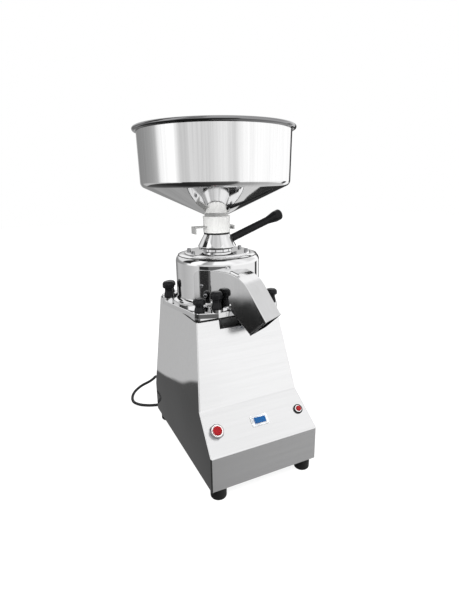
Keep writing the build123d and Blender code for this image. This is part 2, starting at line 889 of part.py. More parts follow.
def lower_stone_carrier():
    """Steel disc keyed to the shaft, with arms that sweep the flour to the spout."""
    low = chamber_floor + stone_floor_height
    disc = ring(stone_radius - 1, shaft_radius, low, lower_carrier_top)
    disc += ring(18, shaft_radius, chamber_floor + 3, low)
    arm = block(stone_radius - 14, sweeper_reach, -sweeper_width / 2, sweeper_width / 2,
                low - 8, low)
    for index in range(3):
        disc += Rot(0, 0, 120 * index + 15) * arm
    return disc


def lower_stone():
    return ring(stone_radius, stone_eye_radius, lower_carrier_top, lower_stone_top)


def stone_nut():
    nut = extrude(RegularPolygon(stone_nut_radius, 6), amount=stone_nut_height)
    nut = Pos(0, 0, lower_carrier_top) * nut - rod(shaft_radius - 3, lower_carrier_top - 1, lower_stone_top)
    return nut


def upper_stone():
    return ring(stone_radius, stone_eye_radius, upper_stone_bottom, upper_stone_top)


def stone_stem():
    """Carrier plate of the upper stone with the threaded feed tube that the hub lifts."""
    plate = ring(stone_radius - 3, stem_bore, upper_stone_top, upper_carrier_top)
    plate += ring(stem_radius - running_fit, stem_bore, upper_carrier_top - 1, upper_stone_top + stem_height)
    for x, y in guide_pin_places():
        plate -= rod(guide_pin_radius + running_fit, upper_stone_top - 1, upper_carrier_top + 1, x, y)
    return plate


def adjusting_hub():
    """Cone-shaped nut: it runs in the cover's boss and carries the lever."""
    neck_bottom = boss_top - hub_neck_depth
    groove_low = boss_bottom - retaining_ring_thickness
    groove_radius = hub_neck_radius - ring_groove_depth
    points = [
        (stem_radius, neck_bottom),
        (hub_neck_radius, neck_bottom),
        (hub_neck_radius, groove_low),
        (groove_radius, groove_low),
        (groove_radius, boss_bottom),
        (hub_neck_radius, boss_bottom),
        (hub_neck_radius, boss_top),
        (cover_boss_radius - 1, boss_top),
        (cover_boss_radius - 1, hub_cone_base),
        (hub_base_radius, hub_cone_base),
        (hub_base_radius, hub_cone_base + 2),
        (hub_top_radius, hub_top),
        (stem_radius, hub_top),
    ]
    hub = turned(points, [0, 0.5, 0, 0, 0, 0, 0, 0, 0, 0.8, 1.5, 1.5, 0])
    return hub - lever_frame(Cylinder(lever_rod_radius, 60))


def lever_frame(piece):
    """Places a piece drawn along +Z from the axis onto the lever's line."""
    return Pos(0, 0, lever_base_z()) * Rot(0, 90 - lever_rise, 0) * Pos(0, 0, 30) * piece


def lever_base_z():
    """Height at which the lever's line crosses the grinding axis."""
    reach = 35.0
    return hub_cone_base + lever_height - reach * tan(radians(lever_rise))


def lever_rod():
    rod_end = grip_start + grip_length - grip_wall_at_end
    bar = Pos(0, 0, lever_root - 30) * Cylinder(
        lever_rod_radius, rod_end - lever_root, align=(Align.CENTER, Align.CENTER, Align.MIN))
    bore = rod(stem_radius, hub_cone_base - 10, hub_top + 10)
    return lever_frame(bar) - bore


def lever_grip():
    """Sleeve that swells to a rounded knob at its end."""
    length = grip_length
    points = [
        (0, 0),
        (grip_radius, 0),
        (grip_radius, length * 0.72),
        (grip_end_radius, length * 0.88),
        (grip_end_radius, length),
        (0, length),
    ]
    outline = FilletPolyline(*points, radius=[0, 1, 30, 15, 5, 0], close=True)
    grip = revolve(Plane.XZ * make_face(outline), axis=Axis.Z)
    grip -= Cylinder(lever_rod_radius, 2 * (length - grip_wall_at_end))
    return lever_frame(Pos(0, 0, grip_start - 30) * grip)


def retaining_ring():
    high = boss_bottom
    ring_solid = ring(retaining_ring_radius, hub_neck_radius - ring_groove_depth,
                      high - retaining_ring_thickness, high)
    return ring_solid - block(0, 40, -4, 4, high - 5, high + 1)


# Knobs and studs

def knob(height, x, y, base):
    """Mushroom-headed clamping knob with a waist and a skirt."""
    points = [
        (0, base),
        (knob_base_radius, base),
        (knob_base_radius, base + 3),
        (knob_waist_radius, base + height * 0.38),
        (knob_waist_radius, base + height * 0.55),
        (knob_head_radius, base + height * 0.60),
        (knob_head_radius, base + height),
        (0, base + height),
    ]
    shape = turned(points, [0, 0.8, 2, 3, 0.6, 1.5, 6, 0])
    shape -= rod(stud_radius + running_fit, base - 1, base + height * 0.6)
    return Pos(x, y, 0) * shape


def clamp_studs():
    studs = []
    for x, y in corner_places():
        studs.append(rod(stud_radius, cabinet_top, chamber_floor + short_knob_height * 0.6, x, y))
    for x, y in lug_places():
        studs.append(rod(stud_radius, top_plate_top, foot_ring_top + tall_knob_height * 0.6, x, y))
    return joined(studs)


# Hopper

def hopper_bowl():
    """Sheet bowl: neck, shallow cone, upright wall and a rolled rim."""
    low = cone_bottom - neck_depth
    corner = cone_bottom + hopper_cone_height
    top = corner + hopper_wall_height
    outer = [
        (0, low),
        (neck_radius, low),
        (neck_radius, cone_bottom + neck_rise),
        (hopper_base_radius, corner),
        (hopper_top_radius, top),
        (0, top),
    ]
    inner = [
        (0, low - 1),
        (neck_radius - hopper_sheet, low - 1),
        (neck_radius - hopper_sheet, cone_bottom + neck_rise),
        (hopper_base_radius - hopper_sheet, corner + hopper_sheet / 2),
        (hopper_top_radius - hopper_sheet, top + 1),
        (0, top + 1),
    ]
    bowl = turned(outer, [0, 0, 3, hopper_corner, 0, 0])
    bowl -= turned(inner, [0, 0, 3 + hopper_sheet, hopper_corner - hopper_sheet, 0, 0])
    bead = Pos(0, 0, top) * Torus(rim_radius, rim_bead_radius)
    return bowl + bead


def gate_z():
    return hub_top + gate_height


def feed_collar():
    """White collar that stands in the hub's mouth and holds the hopper's neck."""
    spigot = stem_radius - running_fit
    points = [
        (feed_bore, hub_top - collar_spigot_depth),
        (spigot, hub_top - collar_spigot_depth),
        (spigot, hub_top),
        (collar_radius, hub_top),
        (collar_radius, collar_top - 1),
        (neck_radius + 0.05, collar_top - 1),
        (neck_radius + 0.05, cone_bottom - neck_depth),
        (feed_bore, cone_bottom - neck_depth - 5),
    ]
    collar = turned(points, [0, 0.8, 0, 1.5, 0, 0, 0, 0])
    half = gate_width / 2 + gate_slot_clearance
    collar -= block(-collar_radius - 1, collar_radius + 1, -half, half,
                    gate_z() - gate_slot_clearance, gate_z() + gate_thickness + gate_slot_clearance)
    return collar


def feed_gate():
    """Slide plate with a hole, a turned-down handle and a turned-down stop."""
    half = gate_width / 2
    top = gate_z() + gate_thickness
    plate = block(-gate_handle_reach, gate_stop_reach, -half, half, gate_z(), top)
    plate += block(-gate_handle_reach, -gate_handle_reach + gate_lip, -half, half,
                   top - gate_handle_drop, top)
    plate += block(gate_stop_reach - gate_lip, gate_stop_reach, -half, half, top - gate_stop_drop, top)
    return plate - rod(feed_bore, gate_z() - 1, top + 1)


# Motor and electrics

def motor_shell():
    low = motor_bottom + end_shield_depth
    shell = ring(motor_radius, motor_radius - motor_wall, low, low + motor_length)
    for index in range(24):
        fin = block(motor_radius - 1, motor_radius + 4, -1, 1, low + 4, low + motor_length - 4)
        shell += Rot(0, 0, 15 * index) * fin
    return shell


def upper_end_shield():
    low = motor_top - end_shield_depth
    shield = ring(shield_radius, shaft_radius + 1.5, low, motor_top)
    shield -= ring(shield_radius - 5, bearing_radius + 4, low - 1, motor_top - 10)
    shield -= rod(bearing_radius, low - 1, low + bearing_width)
    for x, y in around((45, 135, 225, 315), motor_bolt_circle):
        shield -= rod(3.0, motor_top - 12, motor_top + 1, x, y)
    return shield


def lower_end_shield():
    high = motor_bottom + end_shield_depth
    shield = ring(shield_radius, shaft_radius + 1.5, motor_bottom, high)
    shield -= ring(shield_radius - 5, bearing_radius + 4, motor_bottom + 10, high + 1)
    shield -= rod(bearing_radius, high - bearing_width, high + 1)
    return shield


def bearing(low):
    outer = ring(bearing_radius, bearing_radius - 4, low, low + bearing_width)
    inner = ring(shaft_radius + 4, shaft_radius, low, low + bearing_width)
    web = ring(bearing_radius - 3.9, shaft_radius + 3.9, low + 1, low + bearing_width - 1)
    return outer + inner + web


def motor_shaft():
    shaft = rod(shaft_radius, shaft_bottom, lower_carrier_top)
    shaft += rod(shaft_radius - 3, lower_carrier_top, lower_carrier_top + stone_nut_height + 3)
    return shaft


def stator_middle():
    return motor_bottom + end_shield_depth + motor_length / 2


def stator_core():
    middle = stator_middle()
    core = ring(motor_radius - motor_wall, core_inner, middle - core_length / 2, middle + core_length / 2)
    for index in range(24):
        slot = block(core_inner + 3, core_inner + 12, -2, 2, middle - core_length, middle + core_length)
        core -= Rot(0, 0, 15 * index) * slot
    return core


def stator_windings():
    middle = stator_middle()
    rings = []
    for sign in (-1, 1):
        start = middle + sign * core_length / 2
        low = min(start, start + sign * winding_length)
        rings.append(turned(
            [(core_inner + 3, low), (core_inner + 16, low), (core_inner + 16, low + winding_length),
             (core_inner + 3, low + winding_length)],
            [4, 4, 4, 4]))
    return joined(rings)


def rotor_core():
    middle = stator_middle()
    core = ring(rotor_radius, shaft_radius, middle - core_length / 2 - 2, middle + core_length / 2 + 2)
    for sign in (-1, 1):
        end = middle + sign * (core_length / 2 + 2)
        low = min(end, end + sign * 6)
        core += ring(rotor_radius - 2, rotor_radius - 12, low, low + 6)
    return core


def cooling_fan():
    high = motor_bottom - 3
    low = high - fan_depth
    fan = ring(fan_radius, shaft_radius, high - 2, high)
    fan += ring(16, shaft_radius, low, high)
    for index in range(fan_blades):
        blade = block(15, fan_radius, -1, 1, low, high - 1)
        fan += Rot(0, 0, 360 / fan_blades * index) * blade
    return fan


def fan_cover():
    low = motor_bottom - fan_cover_depth
    cup = rod(shield_radius, low, motor_bottom) - rod(shield_radius - 1.5, low + 1.5, motor_bottom + 1)
    for radius in (24, 36, 48):
        for index in range(6):
            slot = ring(radius + 3, radius - 3, low - 1, low + 3)
            slot &= wedge(90, 60 * index + 8, 60 * index + 52, low - 1, low + 3)
            cup -= slot
    return cup


def motor_bolts():
    bolts = []
    for x, y in around((45, 135, 225, 315), motor_bolt_circle):
        bolts.append(rod(6.0, top_plate_top - 5, top_plate_top, x, y)
                     + rod(3.0, motor_top - 12, top_plate_top - 5, x, y))
    return joined(bolts)


def run_capacitor():
    """Can with its strap, standing on the bottom plate beside the motor."""
    x = base_width / 2 - capacitor_radius - 12
    y = base_back - capacitor_radius - 32
    low = plinth_bottom + 2 * sheet
    can = rod(capacitor_radius, low, low + capacitor_length, x, y)
    can = fillet(can.edges().sort_by(Axis.Z)[-1], 3)
    can += ring(capacitor_radius + 1.5, capacitor_radius - 0.5, low + 30, low + 42, x, y)
    can += rod(4, low + capacitor_length, low + capacitor_length + 8, x - 7, y)
    can += rod(4, low + capacitor_length, low + capacitor_length + 8, x + 7, y)
    return can


# Mains lead

def cable_gland():
    flange = Pos(gland_x, base_back - 2, gland_height) * Rot(-90, 0, 0) * Cylinder(
        gland_radius, gland_reach, align=(Align.CENTER, Align.CENTER, Align.MIN))
    body = Pos(gland_x, base_back - 18, gland_height) * Rot(-90, 0, 0) * Cylinder(
        gland_radius - 3, 20, align=(Align.CENTER, Align.CENTER, Align.MIN))
    nut = Pos(gland_x, base_back - 14, gland_height) * Rot(-90, 0, 0) * extrude(
        RegularPolygon(gland_radius, 6), amount=6)
    outside = flange - cabinet_block(0)
    inside = nut & cabinet_block(sheet)
    gland = outside + body + inside
    return gland - Pos(gland_x, base_back, gland_height) * Rot(90, 0, 0) * Cylinder(cord_radius, 80)


gland_end = base_back - 2 + gland_reach
relief_end = gland_end + relief_length

# The lead lies a little above the floor, so that nothing reaches below it
cord_rest = cord_radius + 0.35

# Route of the lead from the mouth of its strain relief to the coil
cord_points = [
    (gland_x, relief_end, gland_height),
    (-100, 209, 84),
    (-99, 238, 63),
    (-106, 266, 42),
    (-129, 283, 26),
    (-155, 272, 13),
    (-164, 244, cord_rest),
    (-151, 217, cord_rest),
    (-126, 199, cord_rest),
    (-95, 190, cord_rest),
    (-62, 182, cord_rest),
    (-36, 172, cord_rest),
    (coil_x - 22, coil_y - coil_middle_radius - 2 * cord_radius, cord_rest),
]


def corner_radii(points):
    """Largest smooth radius at each inner point of a route."""
    radii = []
    for before, corner, after in zip(points, points[1:], points[2:]):
        turn = (Vector(*corner) - Vector(*before)).get_angle(Vector(*after) - Vector(*corner))
        shorter = min(dist(before, corner), dist(corner, after))
        radii.append(0.45 * shorter / tan(radians(turn) / 2))
    return radii


def tube(points):
    """Lead along a route of straight runs joined by tangent arcs."""
    path = FilletPolyline(*points, radius=corner_radii(points))
    direction = Vector(*points[1]) - Vector(*points[0])
    section = Plane(origin=points[0], z_dir=direction) * Circle(cord_radius)
    return sweep(section, path=path)


def power_cord():
    """Free stretch of the lead and its short end from the coil to the plug."""
    exit_height = cord_rest + 2 * cord_radius * (coil_layers - 1)
    exit_y = coil_y - coil_middle_radius - 2 * cord_radius
    plug_start = coil_outer_radius() + coil_x + plug_gap - plug_neck
    tail = Pos(coil_x + 8, exit_y, exit_height) * Rot(0, 90, 0) * Cylinder(
        cord_radius, plug_start - coil_x - 8, align=(Align.CENTER, Align.CENTER, Align.MIN))
    return joined([tube(cord_points) - cord_coil(), tail - cord_coil()])


def coil_outer_radius():
    return coil_middle_radius + coil_columns * cord_radius


def cord_coil():
    """Outer shape of the wound lead."""
    inner = coil_middle_radius - coil_columns * cord_radius
    outer = coil_outer_radius()
    low = cord_rest - cord_radius
    high = low + 2 * cord_radius * coil_layers
    shape = turned([(inner, low), (outer, low), (outer, high), (inner, high)], [coil_corner] * 4)
    return Pos(coil_x, coil_y, 0) * shape


def plug_frame(piece):
    """Places a piece drawn with its axis along +Z onto the plug's line, from the body's start."""
    exit_y = coil_y - coil_middle_radius - 2 * cord_radius
    start = coil_x + coil_outer_radius() + plug_gap
    return Pos(start, exit_y, plug_depth / 2) * Rot(0, 90, 0) * piece


def mains_plug():
    """Moulded plug body lying on its broad side, with a tapered neck for the lead."""
    body = extrude(Rectangle(plug_depth, plug_width), amount=plug_length)
    body = fillet(body.edges().filter_by(Axis.Z), plug_corner)
    body = fillet(body.faces().sort_by(Axis.Z)[0].edges(), 2.0)
    neck = Pos(0, 0, -plug_neck) * Cone(
        cord_radius + 2, cord_radius + 4, plug_neck + 1, align=(Align.CENTER, Align.CENTER, Align.MIN))
    return plug_frame(body + neck)


def plug_pins():
    """Three round pins, the earth pin thicker and longer."""
    pins = []
    for across, up, radius, length in pin_places:
        pin = Pos(-up, across, plug_length) * Cylinder(
            radius, length, align=(Align.CENTER, Align.CENTER, Align.MIN))
        pins.append(chamfer(pin.edges().sort_by(Axis.Z)[-1], radius / 2))
    return plug_frame(joined(pins))


def strain_relief():
    base = Pos(gland_x, gland_end, gland_height) * Rot(-90, 0, 0)
    sleeve = base * Cone(gland_radius - 2, cord_radius + 1.2, relief_length,
                         align=(Align.CENTER, Align.CENTER, Align.MIN))
    return sleeve - base * Cylinder(cord_radius, 2 * relief_length + 2)


def main():
    pieces = {
        "housing_shell": housing_shell(),
        "rear_cover": rear_cover(),
        "bottom_plate": bottom_plate(),
        "rubber_feet": rubber_feet(),
        "housing_screws": housing_screws(),
        "button_bezel": button_bezel(),
        "push_button": push_button(),
        "switch_frame": switch_body(),
        "switch_rocker": switch_rocker(),
        "reset_body": reset_body(),
        "reset_button": reset_button(),
        "top_plate": top_plate(),
        "base_flange": base_flange(),
        "shaft_seal": shaft_seal(),
        "chamber_drum": chamber_drum(),
        "chamber_gasket": chamber_gasket(),
        "chamber_cover": chamber_cover(),
        "cover_bolts": cover_bolts(),
        "guide_pins": guide_pins(),
        "lower_stone_carrier": lower_stone_carrier(),
        "lower_stone": lower_stone(),
        "stone_nut": stone_nut(),
        "upper_stone": upper_stone(),
        "stone_stem": stone_stem(),
        "adjusting_hub": adjusting_hub(),
        "hub_retaining_ring": retaining_ring(),
        "lever_rod": lever_rod(),
        "lever_grip": lever_grip(),
        "clamp_studs": clamp_studs(),
        "discharge_spout": discharge_spout(),
        "spout_screws": spout_screws(),
        "hopper_bowl": hopper_bowl(),
        "feed_collar": feed_collar(),
        "feed_gate": feed_gate(),
        "motor_shell": motor_shell(),
        "upper_end_shield": upper_end_shield(),
        "lower_end_shield": lower_end_shield(),
        "upper_bearing": bearing(motor_top - end_shield_depth),
        "lower_bearing": bearing(motor_bottom + end_shield_depth - bearing_width),
        "motor_shaft": motor_shaft(),
        "stator_core": stator_core(),
        "stator_windings": stator_windings(),
        "rotor_core": rotor_core(),
        "cooling_fan": cooling_fan(),
        "fan_cover": fan_cover(),
        "motor_bolts": motor_bolts(),
        "run_capacitor": run_capacitor(),
        "cable_gland": cable_gland(),
        "strain_relief": strain_relief(),
        "power_cord": power_cord(),
        "cord_coil": cord_coil(),
        "mains_plug": mains_plug(),
        "plug_pins": plug_pins(),
    }
    for index, (x, y) in enumerate(corner_places(), start=1):
        pieces[f"corner_knob_{index}"] = knob(short_knob_height, x, y, chamber_floor)
    for index, (x, y) in enumerate(lug_places(), start=1):
        pieces[f"drum_knob_{index}"] = knob(tall_knob_height, x, y, foot_ring_top)
    for name, piece in pieces.items():
        save(name, piece)


main()
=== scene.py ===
"""Looks of a domestic flour mill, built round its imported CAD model.

The mill is a folded steel cabinet with a motor inside, a polished grinding drum with an adjusting
lever on top, a curved chute beside it, and a spun steel hopper that stands on a white collar.
"""

from __future__ import annotations

import json
import logging
import math
from collections.abc import Callable, Iterable, Sequence
from dataclasses import dataclass
from enum import Enum
from functools import cache

import bmesh
import bpy
from mathutils import Matrix, Vector

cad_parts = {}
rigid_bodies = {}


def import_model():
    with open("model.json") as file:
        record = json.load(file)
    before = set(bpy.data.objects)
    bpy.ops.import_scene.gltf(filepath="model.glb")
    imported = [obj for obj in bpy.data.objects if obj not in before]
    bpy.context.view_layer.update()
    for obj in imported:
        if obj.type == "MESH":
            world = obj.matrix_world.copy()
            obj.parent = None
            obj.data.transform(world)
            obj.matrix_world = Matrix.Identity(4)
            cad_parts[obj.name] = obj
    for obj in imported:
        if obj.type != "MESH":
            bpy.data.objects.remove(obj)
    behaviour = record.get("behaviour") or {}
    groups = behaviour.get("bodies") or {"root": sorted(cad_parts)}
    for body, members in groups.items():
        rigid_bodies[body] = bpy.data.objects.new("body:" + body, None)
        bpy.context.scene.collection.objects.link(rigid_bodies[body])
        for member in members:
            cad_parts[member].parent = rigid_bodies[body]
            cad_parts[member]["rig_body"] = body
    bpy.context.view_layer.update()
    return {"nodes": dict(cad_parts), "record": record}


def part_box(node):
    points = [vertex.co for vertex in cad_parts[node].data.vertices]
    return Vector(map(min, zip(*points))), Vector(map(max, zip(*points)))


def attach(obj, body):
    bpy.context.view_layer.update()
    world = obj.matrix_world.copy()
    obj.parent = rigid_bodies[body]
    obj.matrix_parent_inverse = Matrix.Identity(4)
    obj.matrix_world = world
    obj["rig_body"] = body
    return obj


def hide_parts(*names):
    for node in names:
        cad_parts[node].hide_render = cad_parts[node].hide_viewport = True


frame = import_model()

MM = 0.001
FULL_TURN = 2 * math.pi

# Distances in metres within which places count as one
SAME_POINT = 1e-7
DOUBLES = 1e-6
NEAR = 1e-5
FACE_MATCH = 1e-4

# Sizes that several parts of the mill share
DRUM_RADIUS = 90.5 * MM
HUB_FOOT = 3.5 * MM

Point = tuple[float, float, float]
Corner = tuple[float, float, float]
Color = tuple[float, float, float]
Offsets = tuple[float, float, float, float]
logger = logging.getLogger("mill")


def axis_of(node: str) -> tuple[float, float]:
    """Middle of a CAD node in plan.

    Args:
        node: Name of the CAD node.

    Returns:
        Its middle as (x, y), in metres.
    """
    low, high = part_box(node)
    return (low[0] + high[0]) / 2, (low[1] + high[1]) / 2


def bottom_of(node: str) -> float:
    """Height of a CAD node's lowest point, in metres."""
    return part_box(node)[0][2]


def top_of(node: str) -> float:
    """Height of a CAD node's highest point, in metres."""
    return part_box(node)[1][2]


AXIS = axis_of("upper_stone")
SLOTS = {entry["node"]: entry["material_slot"] for entry in frame["record"]["subparts"]}


class Part(Enum):
    """What a selection in edit mode is made of."""

    VERTICES = "VERT"
    FACES = "FACE"


def clear_selection() -> None:
    """Leaves edit mode and deselects every object."""
    active = bpy.context.object
    if active is not None and active.mode != "OBJECT":
        bpy.ops.object.mode_set(mode="OBJECT")
    bpy.ops.object.select_all(action="DESELECT")


def make_active(piece: bpy.types.Object) -> None:
    """Selects one piece alone and makes it the active object.

    Args:
        piece: The piece to work on.
    """
    clear_selection()
    piece.select_set(True)
    bpy.context.view_layer.objects.active = piece


def open_piece(piece: bpy.types.Object) -> None:
    """Enters edit mode on one piece."""
    make_active(piece)
    bpy.ops.object.mode_set(mode="EDIT")


def apply_place(piece: bpy.types.Object) -> None:
    """Puts a piece's place, turn and size into its mesh."""
    make_active(piece)
    bpy.ops.object.transform_apply(location=True, rotation=True, scale=True)


def place(piece: bpy.types.Object, matrix: Matrix) -> None:
    """Moves a piece by a matrix and puts that into its mesh.

    Args:
        piece: The piece that is moved.
        matrix: The move, in the scene's frame.
    """
    piece.matrix_world = matrix @ piece.matrix_world
    bpy.context.view_layer.update()
    apply_place(piece)


def pick(piece: bpy.types.Object, part: Part, test: Callable[[Vector], bool]) -> None:
    """Selects the elements of the piece in edit mode whose middle passes a test.

    Args:
        piece: The piece that is open in edit mode.
        part: Whether vertices or faces are selected.
        test: Takes an element's middle and says whether it is wanted.
    """
    bpy.ops.mesh.select_mode(type=part.value)
    bpy.ops.mesh.select_all(action="DESELECT")
    mesh = bmesh.from_edit_mesh(piece.data)
    if part is Part.VERTICES:
        places = [(vertex, vertex.co) for vertex in mesh.verts]
    else:
        places = [(face, face.calc_center_median()) for face in mesh.faces]
    for element, middle in places:
        if test(middle):
            element.select_set(True)
    mesh.select_flush_mode()
    bmesh.update_edit_mesh(piece.data)


def close_up(piece: bpy.types.Object) -> None:
    """Merges doubles, turns the faces outwards and leaves edit mode.

    Args:
        piece: The piece that is open in edit mode.
    """
    bpy.ops.mesh.select_all(action="SELECT")
    bpy.ops.mesh.remove_doubles(threshold=DOUBLES)
    bpy.ops.mesh.normals_make_consistent(inside=False)
    bpy.ops.object.mode_set(mode="OBJECT")


def modify(piece: bpy.types.Object, kind: str, **settings: object) -> None:
    """Adds a modifier with its settings and applies it.

    Args:
        piece: The piece that is changed.
        kind: Blender's name for the type of modifier.
        **settings: The modifier's own settings.
    """
    make_active(piece)
    modifier = piece.modifiers.new(kind.lower(), kind)
    for name, value in settings.items():
        setattr(modifier, name, value)
    bpy.ops.object.modifier_apply(modifier=modifier.name)


def round_edges(piece: bpy.types.Object, width: float, segments: int = 3, angle: float = 30) -> None:
    """Rounds all edges that are sharper than an angle in degrees."""
    modify(piece, "BEVEL", width=width, segments=segments, limit_method="ANGLE",
           angle_limit=math.radians(angle), harden_normals=False, use_clamp_overlap=True)


def even_shading(piece: bpy.types.Object, angle: float = 35) -> None:
    """Shades a piece smooth and lets its large faces stay flat.

    Args:
        piece: The piece that is shaded.
        angle: Edges sharper than this many degrees stay sharp.
    """
    make_active(piece)
    bpy.ops.object.shade_smooth_by_angle(angle=math.radians(angle))
    modify(piece, "WEIGHTED_NORMAL", keep_sharp=True, weight=60)


def block(name: str, low: Point, high: Point) -> bpy.types.Object:
    """Starts a piece from a cube between two corners, open in edit mode.

    Args:
        name: Name of the piece.
        low: Lowest corner, in metres.
        high: Highest corner, in metres.

    Returns:
        The new piece.
    """
    clear_selection()
    middle = [(a + b) / 2 for a, b in zip(low, high)]
    bpy.ops.mesh.primitive_cube_add(size=1, location=middle)
    piece = bpy.context.object
    piece.name = name
    piece.scale = [b - a for a, b in zip(low, high)]
    apply_place(piece)
    open_piece(piece)
    return piece


def rounded(corners: Sequence[Corner], closed: bool = True, steps: int = 6) -> list[tuple[float, float]]:
    """Outline with its corners replaced by arcs.

    Args:
        corners: Points as (across, up, corner radius).
        closed: Whether the last point joins the first.
        steps: How many straight bits make an arc.

    Returns:
        The points of the outline as (across, up).
    """
    count = len(corners)
    outline: list[tuple[float, float]] = []
    for index, (across, up, radius) in enumerate(corners):
        here = Vector((across, up))
        inner = closed or 0 < index < count - 1
        if radius <= 0 or not inner:
            outline.append((across, up))
            continue
        before = (Vector(corners[index - 1][:2]) - here).normalized()
        after = (Vector(corners[(index + 1) % count][:2]) - here).normalized()
        half = math.acos(max(-1.0, min(1.0, before.dot(after)))) / 2
        reach = radius / math.tan(half)
        middle = here + (before + after).normalized() * radius / math.sin(half)
        start = here + before * reach - middle
        end = here + after * reach - middle
        turn = start.angle_signed(end)
        for step in range(steps + 1):
            swung = start.copy()
            swung.rotate(Matrix.Rotation(-turn * step / steps, 2))
            outline.append(tuple(middle + swung))
    return outline


def circle(across: float, up: float, radius: float, steps: int) -> list[tuple[float, float]]:
    """Outline of a round bead.

    Args:
        across: Place of its middle across.
        up: Place of its middle upwards.
        radius: Its radius.
        steps: How many points it has.

    Returns:
        The points of the outline as (across, up).
    """
    return [(across + radius * math.cos(FULL_TURN * step / steps),
             up + radius * math.sin(FULL_TURN * step / steps)) for step in range(steps)]


def draw_line(points: Iterable[Point], closed: bool) -> bpy.types.Object:
    """Draws a line of edges through points by extruding one vertex, and stays in edit mode.

    Args:
        points: Points of the line, in metres.
        closed: Whether the last point joins the first.

    Returns:
        The new piece, open in edit mode.
    """
    path = [Vector(point) for point in points]
    clear_selection()
    bpy.ops.mesh.primitive_plane_add(size=MM, location=path[0])
    piece = bpy.context.object
    apply_place(piece)
    open_piece(piece)
    bpy.ops.mesh.select_mode(type="VERT")
    bpy.ops.mesh.select_all(action="SELECT")
    bpy.ops.mesh.merge(type="CENTER")
    for start, end in zip(path, path[1:]):
        bpy.ops.mesh.extrude_vertices_move(TRANSFORM_OT_translate={"value": end - start})
    if closed:
        last = path[-1]
        first = path[0]
        pick(piece, Part.VERTICES,
             lambda at: (at - last).length < SAME_POINT or (at - first).length < SAME_POINT)
        bpy.ops.mesh.edge_face_add()
    return piece


def turned(name: str, outline: Sequence[tuple[float, float]], center: tuple[float, float] = (0.0, 0.0),
           segments: int = 96, closed: bool = True) -> bpy.types.Object:
    """Turns an outline about an upright axis, as on a lathe.

    Args:
        name: Name of the piece.
        outline: Points as (radius, height), in metres.
        center: Place of the axis in plan.
        segments: How many steps make the full turn.
        closed: Whether the outline is closed, as that of a ring is.

    Returns:
        The new piece, out of edit mode.
    """
    points = [(center[0] + radius, center[1], height) for radius, height in outline]
    piece = draw_line(points, closed)
    piece.name = name
    bpy.ops.mesh.select_all(action="SELECT")
    bpy.ops.mesh.spin(steps=segments, angle=FULL_TURN, center=(*center, 0), axis=(0, 0, 1))
    close_up(piece)
    return piece


def extruded(name: str, outline: Sequence[Point], offset: Point) -> bpy.types.Object:
    """Closed solid from a flat outline that is filled and drawn out by an offset.

    Args:
        name: Name of the piece.
        outline: Points of the flat outline, in metres.
        offset: How far and which way it is drawn out.

    Returns:
        The new piece, out of edit mode.
    """
    piece = draw_line(outline, True)
    piece.name = name
    bpy.ops.mesh.select_all(action="SELECT")
    bpy.ops.mesh.edge_face_add()
    bpy.ops.mesh.extrude_region_move(TRANSFORM_OT_translate={"value": offset})
    close_up(piece)
    return piece


def joined(name: str, pieces: Sequence[bpy.types.Object]) -> bpy.types.Object:
    """Several pieces as one object.

    Args:
        name: Name of the whole.
        pieces: The pieces, the first of which takes up the others.

    Returns:
        The one object.
    """
    clear_selection()
    for piece in pieces:
        piece.select_set(True)
    bpy.context.view_layer.objects.active = pieces[0]
    bpy.ops.object.join()
    whole = bpy.context.object
    whole.name = name
    return whole


def frame_matrix(origin: Point, across: Vector, outward: Vector) -> Matrix:
    """Matrix that puts a piece drawn along +Z onto a plane or line.

    Args:
        origin: Where the piece's own origin goes.
        across: Direction of the piece's X.
        outward: Direction of the piece's Z.

    Returns:
        The matrix.
    """
    up = outward.normalized()
    side = across.normalized()
    third = up.cross(side)
    turn = Matrix((side, third, up)).transposed().to_4x4()
    return Matrix.Translation(origin) @ turn


# Finishes

class Grain(Enum):
    """Which way the fine marks of a finish run."""

    NONE = "none"
    ALONG_X = "along x"
    ALONG_Z = "along z"
    AROUND = "around the grinding axis"
    UPRIGHT = "up the wall of a turned piece"


GRAIN_SCALES: dict[Grain, Point] = {
    Grain.NONE: (1.0, 1.0, 1.0),
    Grain.ALONG_X: (0.02, 1.0, 1.0),
    Grain.ALONG_Z: (1.0, 1.0, 0.02),
    Grain.AROUND: (1.0, 0.02, 1.0),
    Grain.UPRIGHT: (0.02, 1.0, 0.01),
}


# How far the turn about the axis counts beside distances, and how coarse the broad grain is
TURN_SCALE = 0.1
BROAD_SHARE = 0.12

# Values that all finishes share
COAT_ROUGHNESS = 0.08
RELIEF_STRENGTH = 0.5
WAVE_SCALE = 9.0
SATIN_START = -0.3
SATIN_END = -0.6


def new_group(name: str, inputs: dict[str, tuple[str, float | None]],
              outputs: dict[str, str]) -> tuple[bpy.types.NodeTree, bpy.types.Node, bpy.types.Node]:
    """Empty shader node group with named inputs and outputs.

    Args:
        name: Name of the group.
        inputs: Socket type and default value of each input.
        outputs: Socket type of each output.

    Returns:
        The group, its input node and its output node.
    """
    group = bpy.data.node_groups.new(name, "ShaderNodeTree")
    for label, (kind, default) in inputs.items():
        socket = group.interface.new_socket(label, in_out="INPUT", socket_type=kind)
        if default is not None:
            socket.default_value = default
    for label, kind in outputs.items():
        group.interface.new_socket(label, in_out="OUTPUT", socket_type=kind)
    return group, group.nodes.new("NodeGroupInput"), group.nodes.new("NodeGroupOutput")


